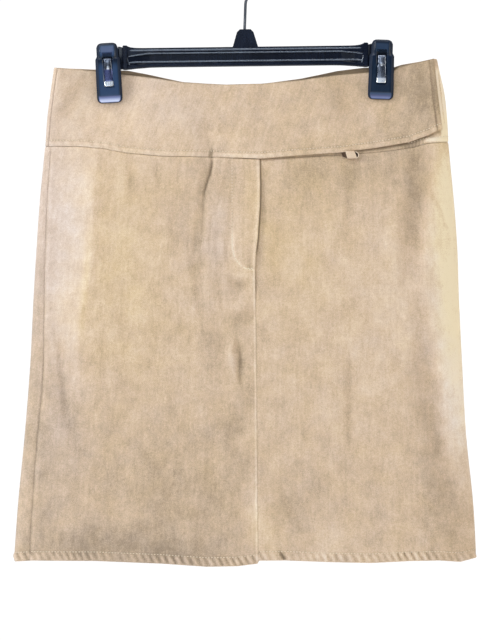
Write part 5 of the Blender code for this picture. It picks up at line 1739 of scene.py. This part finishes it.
bar_end("bar_end_left", -1)
bar_end("bar_end_right", 1)
print("two bar ends")

# %% [markdown]
# ## The belt loop
# Only the end of one loop shows below the wrap-over: a folded strip of the same cotton, with its hollow on
# the left in painted shade and its other edge curling up on the right, painted lighter as painted light.
# A cloth simulation of so small a strip would need very fine steps, so each strip is a small grid laid
# along a formula.

# %% Strips of cloth
LOOP_X = 106.0
cloth_strip = cotton("cotton loop", 0.0, (0.3, 0.3), 0.6)
tape_cotton = cotton("zip tape", 0.0, (0.1, 0.8), 0.4)
loop_shade_paint = thread_material("painted shade inside the loop", (0.075, 0.036, 0.012))
loop_top = float(along(OVER_EDGE, LOOP_X)) - GAP + 0.6
loop_places = np.array([(LOOP_X + side * 9.0, loop_top - down) for side in (-1, 0, 1) for down in (0, 8.0)])
loop_u = u_at(*loop_places.T)
loop_back_y = cloth(loop_u, loop_places[:, 1], relief=False)[:, 1].min() - GAP


def strip_piece(name, columns, rows, place, thickness, material, node=None, shade=0.0):
    """A small strip of cloth: place gives x, y, z in millimetres for two fractions, across and along it."""
    bm = bmesh.new()
    bm.loops.layers.uv.new("cloth")
    bmesh.ops.create_grid(bm, x_segments=columns, y_segments=rows, size=1.0)
    for vertex in bm.verts:
        s, t = (vertex.co.x + 1) / 2, (1 - vertex.co.y) / 2
        vertex.co = Vector(place(s, t)) * MM
    bmesh.ops.recalc_face_normals(bm, faces=bm.faces)
    layer = bm.loops.layers.uv["cloth"]
    for face in bm.faces:
        for corner in face.loops:
            corner[layer].uv = (corner.vert.co.x, corner.vert.co.z)
    mesh = as_mesh(bm, name)
    mesh.shade_smooth()
    mark(mesh, "shade", [shade] * len(mesh.vertices))
    piece = finish_piece(mesh, name, material, (node,) if node else ())
    give_wall(piece, thickness, 0)
    return piece


print("the loop's top is at", round(loop_top, 1), "mm")

# %% The loop's tab, mouth and curl
LOOP_DROP, FOLD_R = 7.2, 1.2


def tab_place(s, t):
    """Down the front, round the fold and up behind. It leans to the right, where its corner hangs lower."""
    front_run, turn_run = LOOP_DROP - FOLD_R, math.pi * FOLD_R
    run = t * (2 * front_run + turn_run)
    if run < front_run:
        y, down = -FOLD_R, run
    elif run < front_run + turn_run:
        angle = (run - front_run) / FOLD_R
        y, down = -FOLD_R * math.cos(angle), front_run + FOLD_R * math.sin(angle)
    else:
        y, down = FOLD_R, 2 * front_run + turn_run - run
    share = down / LOOP_DROP
    x = 101.6 + 9.2 * s + 0.28 * down + 0.8 * s * share
    return x, loop_back_y - 1.9 + y + 0.7 * (0.5 - s), loop_top - down + (1.2 * s - 0.5) * s * share


def hollow_place(s, t):
    """The loop's mouth: a short trough on its left, open to the viewer, coloured as painted shade."""
    x = 97.0 + 6.4 * s + 1.9 * t
    depth = 0.9 * math.sin(math.pi * s)
    return x, loop_back_y - 1.0 + depth - 0.9 * s, loop_top - (5.6 + 2.2 * s) * t


def curl_place(s, t):
    """The loop's other edge curls back up to the band."""
    angle = math.radians(-80 + 165 * t)
    x = 111.6 + 3.6 * math.cos(angle)
    z = loop_top - 4.0 + 3.4 * math.sin(angle)
    return x, loop_back_y - 3.0 + 2.0 * s, z


def curl_inside_place(s, t):
    """Painted shade inside that curl."""
    angle = math.radians(-80 + 165 * t)
    return 111.4 + 3.3 * s * math.cos(angle), loop_back_y - 1.2, loop_top - 4.0 + 3.1 * s * math.sin(angle)


# shade 0.5 paints the tab a little lighter, and 1.2 paints the curl lighter, as painted light on its edge
belt_loop = strip_piece("loop_strip", 8, 24, tab_place, 0.9, cloth_strip, "belt_loop", 0.5)
loop_mouth_shade = strip_piece("loop_mouth_painted_shade", 8, 8, hollow_place, 0.4, loop_shade_paint)
loop_curl = strip_piece("loop_curl", 3, 16, curl_place, 0.8, cloth_strip, None, 1.2)
curl_shade_strip = strip_piece("loop_curl_painted_shade", 6, 12, curl_inside_place, 0.3, loop_shade_paint)
print("belt loop in four strips")

# %% [markdown]
# ## The zip
# A closed zip lies behind the fly. It hardly shows from the front, yet it is there when the skirt is seen
# from inside: a tape sewn like the panels, one small block repeated for the teeth, and a slider with its
# pull. Real teeth have cups and pegs, but at two millimetres a bevelled block reads the same.

# %% Zip tape
ZIP_MIDDLE, ZIP_HALF_WIDE, ZIP_TOP, ZIP_BOTTOM = -6.0, 13.0, -212.0, -316.0
zip_cut = Cut(
    lambda z: centre_seam(z, ZIP_MIDDLE - ZIP_HALF_WIDE),
    lambda z: centre_seam(z, ZIP_MIDDLE + ZIP_HALF_WIDE),
    lambda u: np.full(np.shape(u), ZIP_TOP),
    lambda u: np.full(np.shape(u), ZIP_BOTTOM),
    lambda at: np.full(np.shape(at.u), -(PANEL_T + GAP)),
)
zip_tape = sewn_piece("zip_tape", zip_cut, spread(26.0, 1.6), spread(104.0, 2.0), 1.0, tape_cotton, "fly_zip")

# %% Zip teeth and slider
TOOTH_PITCH, INSIDE_TAPE = 1.9, -(PANEL_T + GAP) - 1.0
zip_brass = wear_and_painted_light_finish("zip brass", ((0.40, 0.30, 0.14), (0.62, 0.50, 0.28)), (0.22, 0.40), 1.0, 0.01, 0.5)


def tooth_mesh():
    bm = bmesh.new()
    bmesh.ops.create_cube(bm, size=1.0)
    bmesh.ops.scale(bm, vec=(3.4, 1.0, 0.9), verts=bm.verts)
    bmesh.ops.bevel(bm, geom=list(bm.edges), offset=0.2, affect="EDGES", segments=1, profile=0.5, material=-1)
    return as_mesh(bm, "one_tooth")


def zip_teeth():
    """Teeth on the inside of the tape, one to the left and one to the right in turn."""
    one, bm = tooth_mesh(), bmesh.new()
    heights = np.arange(ZIP_TOP - 3.0, ZIP_BOTTOM + 4.0, -TOOTH_PITCH / 2)
    for k, z in enumerate(heights):
        u = centre_seam(np.array([z]), ZIP_MIDDLE + (0.8 if k % 2 else -0.8))
        place = on_cloth(u, np.array([z]), INSIDE_TAPE - 0.5)[0]
        move = Matrix.Translation(Vector(place))
        one.transform(move)
        bm.from_mesh(one)
        one.transform(move.inverted())
    bmesh.ops.scale(bm, vec=(MM, MM, MM), verts=bm.verts)
    mesh = as_mesh(bm, "zip_teeth")
    print("zip teeth:", len(heights))
    return finish_piece(mesh, "zip_teeth", zip_brass, ())


# %% The slider
SLIDER_PARTS = (
    # size, place: the body, the bridge and the pull
    ((7.5, 2.2, 9), (0, 0, 0)), ((3, 1.4, 3), (0, 1.4, 1)), ((4, 0.9, 16), (0, 2.2, -7.5)),
)


def zip_slider():
    """A slider at the top of the teeth, and the pull that hangs from it."""
    z = np.array([ZIP_TOP - 4.5])
    centre = Vector(on_cloth(centre_seam(z, ZIP_MIDDLE), z, INSIDE_TAPE - 1.3)[0])
    bm = bmesh.new()
    for size, shift in SLIDER_PARTS:
        made = bmesh.ops.create_cube(bm, size=1.0)["verts"]
        bmesh.ops.scale(bm, vec=size, verts=made)
        bmesh.ops.translate(bm, vec=shift, verts=made)
        edges = list({edge for vertex in made for edge in vertex.link_edges})
        bmesh.ops.bevel(bm, geom=edges, offset=0.35, affect="EDGES", segments=2, profile=0.5, material=-1)
    bmesh.ops.recalc_face_normals(bm, faces=bm.faces)
    bmesh.ops.transform(bm, matrix=Matrix.Scale(MM, 4) @ Matrix.Translation(centre), verts=bm.verts)
    return finish_piece(as_mesh(bm, "zip_slider"), "zip_slider", zip_brass, ())


teeth, slider = zip_teeth(), zip_slider()
print("zip closed")

# %% [markdown]
# ## Floor, light and camera
# The skirt hangs before white, in soft light that is stronger from the left. A picture of a room could light
# it, but area lights are easier to steer: each stands for a window or a card, and the plastic and the steel
# show them as soft shapes. The camera sees a white world, while all other rays see a dim room.

# %% The floor
def plain(name, colour, roughness, emission=0.0):
    material, _, shader = shaded_material(name)
    shader.inputs["Base Color"].default_value = (*colour, 1)
    shader.inputs["Roughness"].default_value = roughness
    shader.inputs["Emission Color"].default_value = (1, 1, 1, 1)
    shader.inputs["Emission Strength"].default_value = emission
    return material


bm = bmesh.new()
bmesh.ops.create_circle(bm, cap_ends=True, segments=96, radius=2.3)
bmesh.ops.translate(bm, vec=(0, 0, -1.25), verts=bm.verts)
floor_mesh = as_mesh(bm, "floor")
floor = into_scene("floor", floor_mesh)
floor_mesh.materials.append(plain("pale floor", (0.9, 0.9, 0.9), 0.8, 0.3))
print("floor", 2.3, "m round")

# %% A dim room, white to the camera
ROOM = (
    # from the floor to the sky
    (0, (0.24, 0.22, 0.20)), (0.42, (0.13, 0.14, 0.15)),
    (0.58, (0.15, 0.16, 0.19)), (1, (0.36, 0.40, 0.48)),
)
world = bpy.data.worlds.new("studio")
bpy.context.scene.world = world
world.use_nodes = True
tree = world.node_tree
nodes, links = tree.nodes, tree.links
around = nodes.new("ShaderNodeTexCoord")
split = nodes.new("ShaderNodeSeparateXYZ")
links.new(around.outputs["Generated"], split.inputs[0])
height = math_node(tree, "ADD", math_node(tree, "MULTIPLY", split.outputs["Z"], 0.5), 0.5, clamp=True)
rays = nodes.new("ShaderNodeLightPath")
seen = mix_colour(tree, rays.outputs["Is Camera Ray"], ramp_node(tree, height, ROOM), (1.05, 1.05, 1.05))
links.new(seen, nodes["Background"].inputs["Color"])
print("world:", world.name)

# %% Lights
LIGHTS = (
    # name, place, aim, size, power, colour
    ("window", (-2.3, -1.0, 0.75), (0, 0, -0.35), (0.7, 0.9), 55.0, (0.95, 0.975, 1.0)),
    ("lamp", (2.3, -0.9, 0.0), (0, 0, -0.35), (0.7, 0.9), 22.0, (1.0, 0.93, 0.80)),
    ("high card", (-0.5, -3.1, 0.9), (0, 0, -0.1), (1.0, 1.4), 11.0, (0.80, 0.90, 1.0)),
    ("low card", (-0.5, -2.6, -1.4), (0, 0, -0.1), (0.9, 1.4), 3.0, (0.82, 0.90, 1.0)),
    ("bevel card", (-0.3, -1.6, -1.7), (-0.1, 0, -0.16), (0.5, 0.5), 5.0, (0.82, 0.90, 1.0)),
    ("ceiling", (0.0, -0.8, 1.5), (0, 0, -0.25), (1.6, 0.3), 15.0, (0.97, 0.985, 1.0)),
    ("back window", (0.9, 2.0, 0.4), (0, 0, -0.35), (1.0, 1.0), 26.0, (0.97, 0.98, 1.0)),
)


def soft_light(name, place, aim, size, power, colour):
    lamp = bpy.data.lights.new(name, "AREA")
    lamp.shape = "RECTANGLE"
    lamp.size, lamp.size_y = size
    lamp.energy = power
    lamp.color = colour
    light = into_scene(name, lamp)
    light.location = place
    light.rotation_euler = (Vector(aim) - Vector(place)).to_track_quat("-Z", "Y").to_euler()
    light.visible_camera = False


for row in LIGHTS:
    soft_light(*row)
print("lights:", [row[0] for row in LIGHTS])

# %% The camera
camera_data = bpy.data.cameras.new("camera")
camera_data.lens = 221.0
camera_data.sensor_width = 36.0
camera = into_scene("camera", camera_data)
camera.location = (-0.0046, -4.015, -0.3719)
camera.rotation_euler = (math.pi / 2, 0, 0)
bpy.context.scene.camera = camera
bpy.context.scene.view_settings.view_transform = "Standard"
print("camera", round(-camera.location.y, 2), "m away")

# %% [markdown]
# ## The end

print("the scene is built")
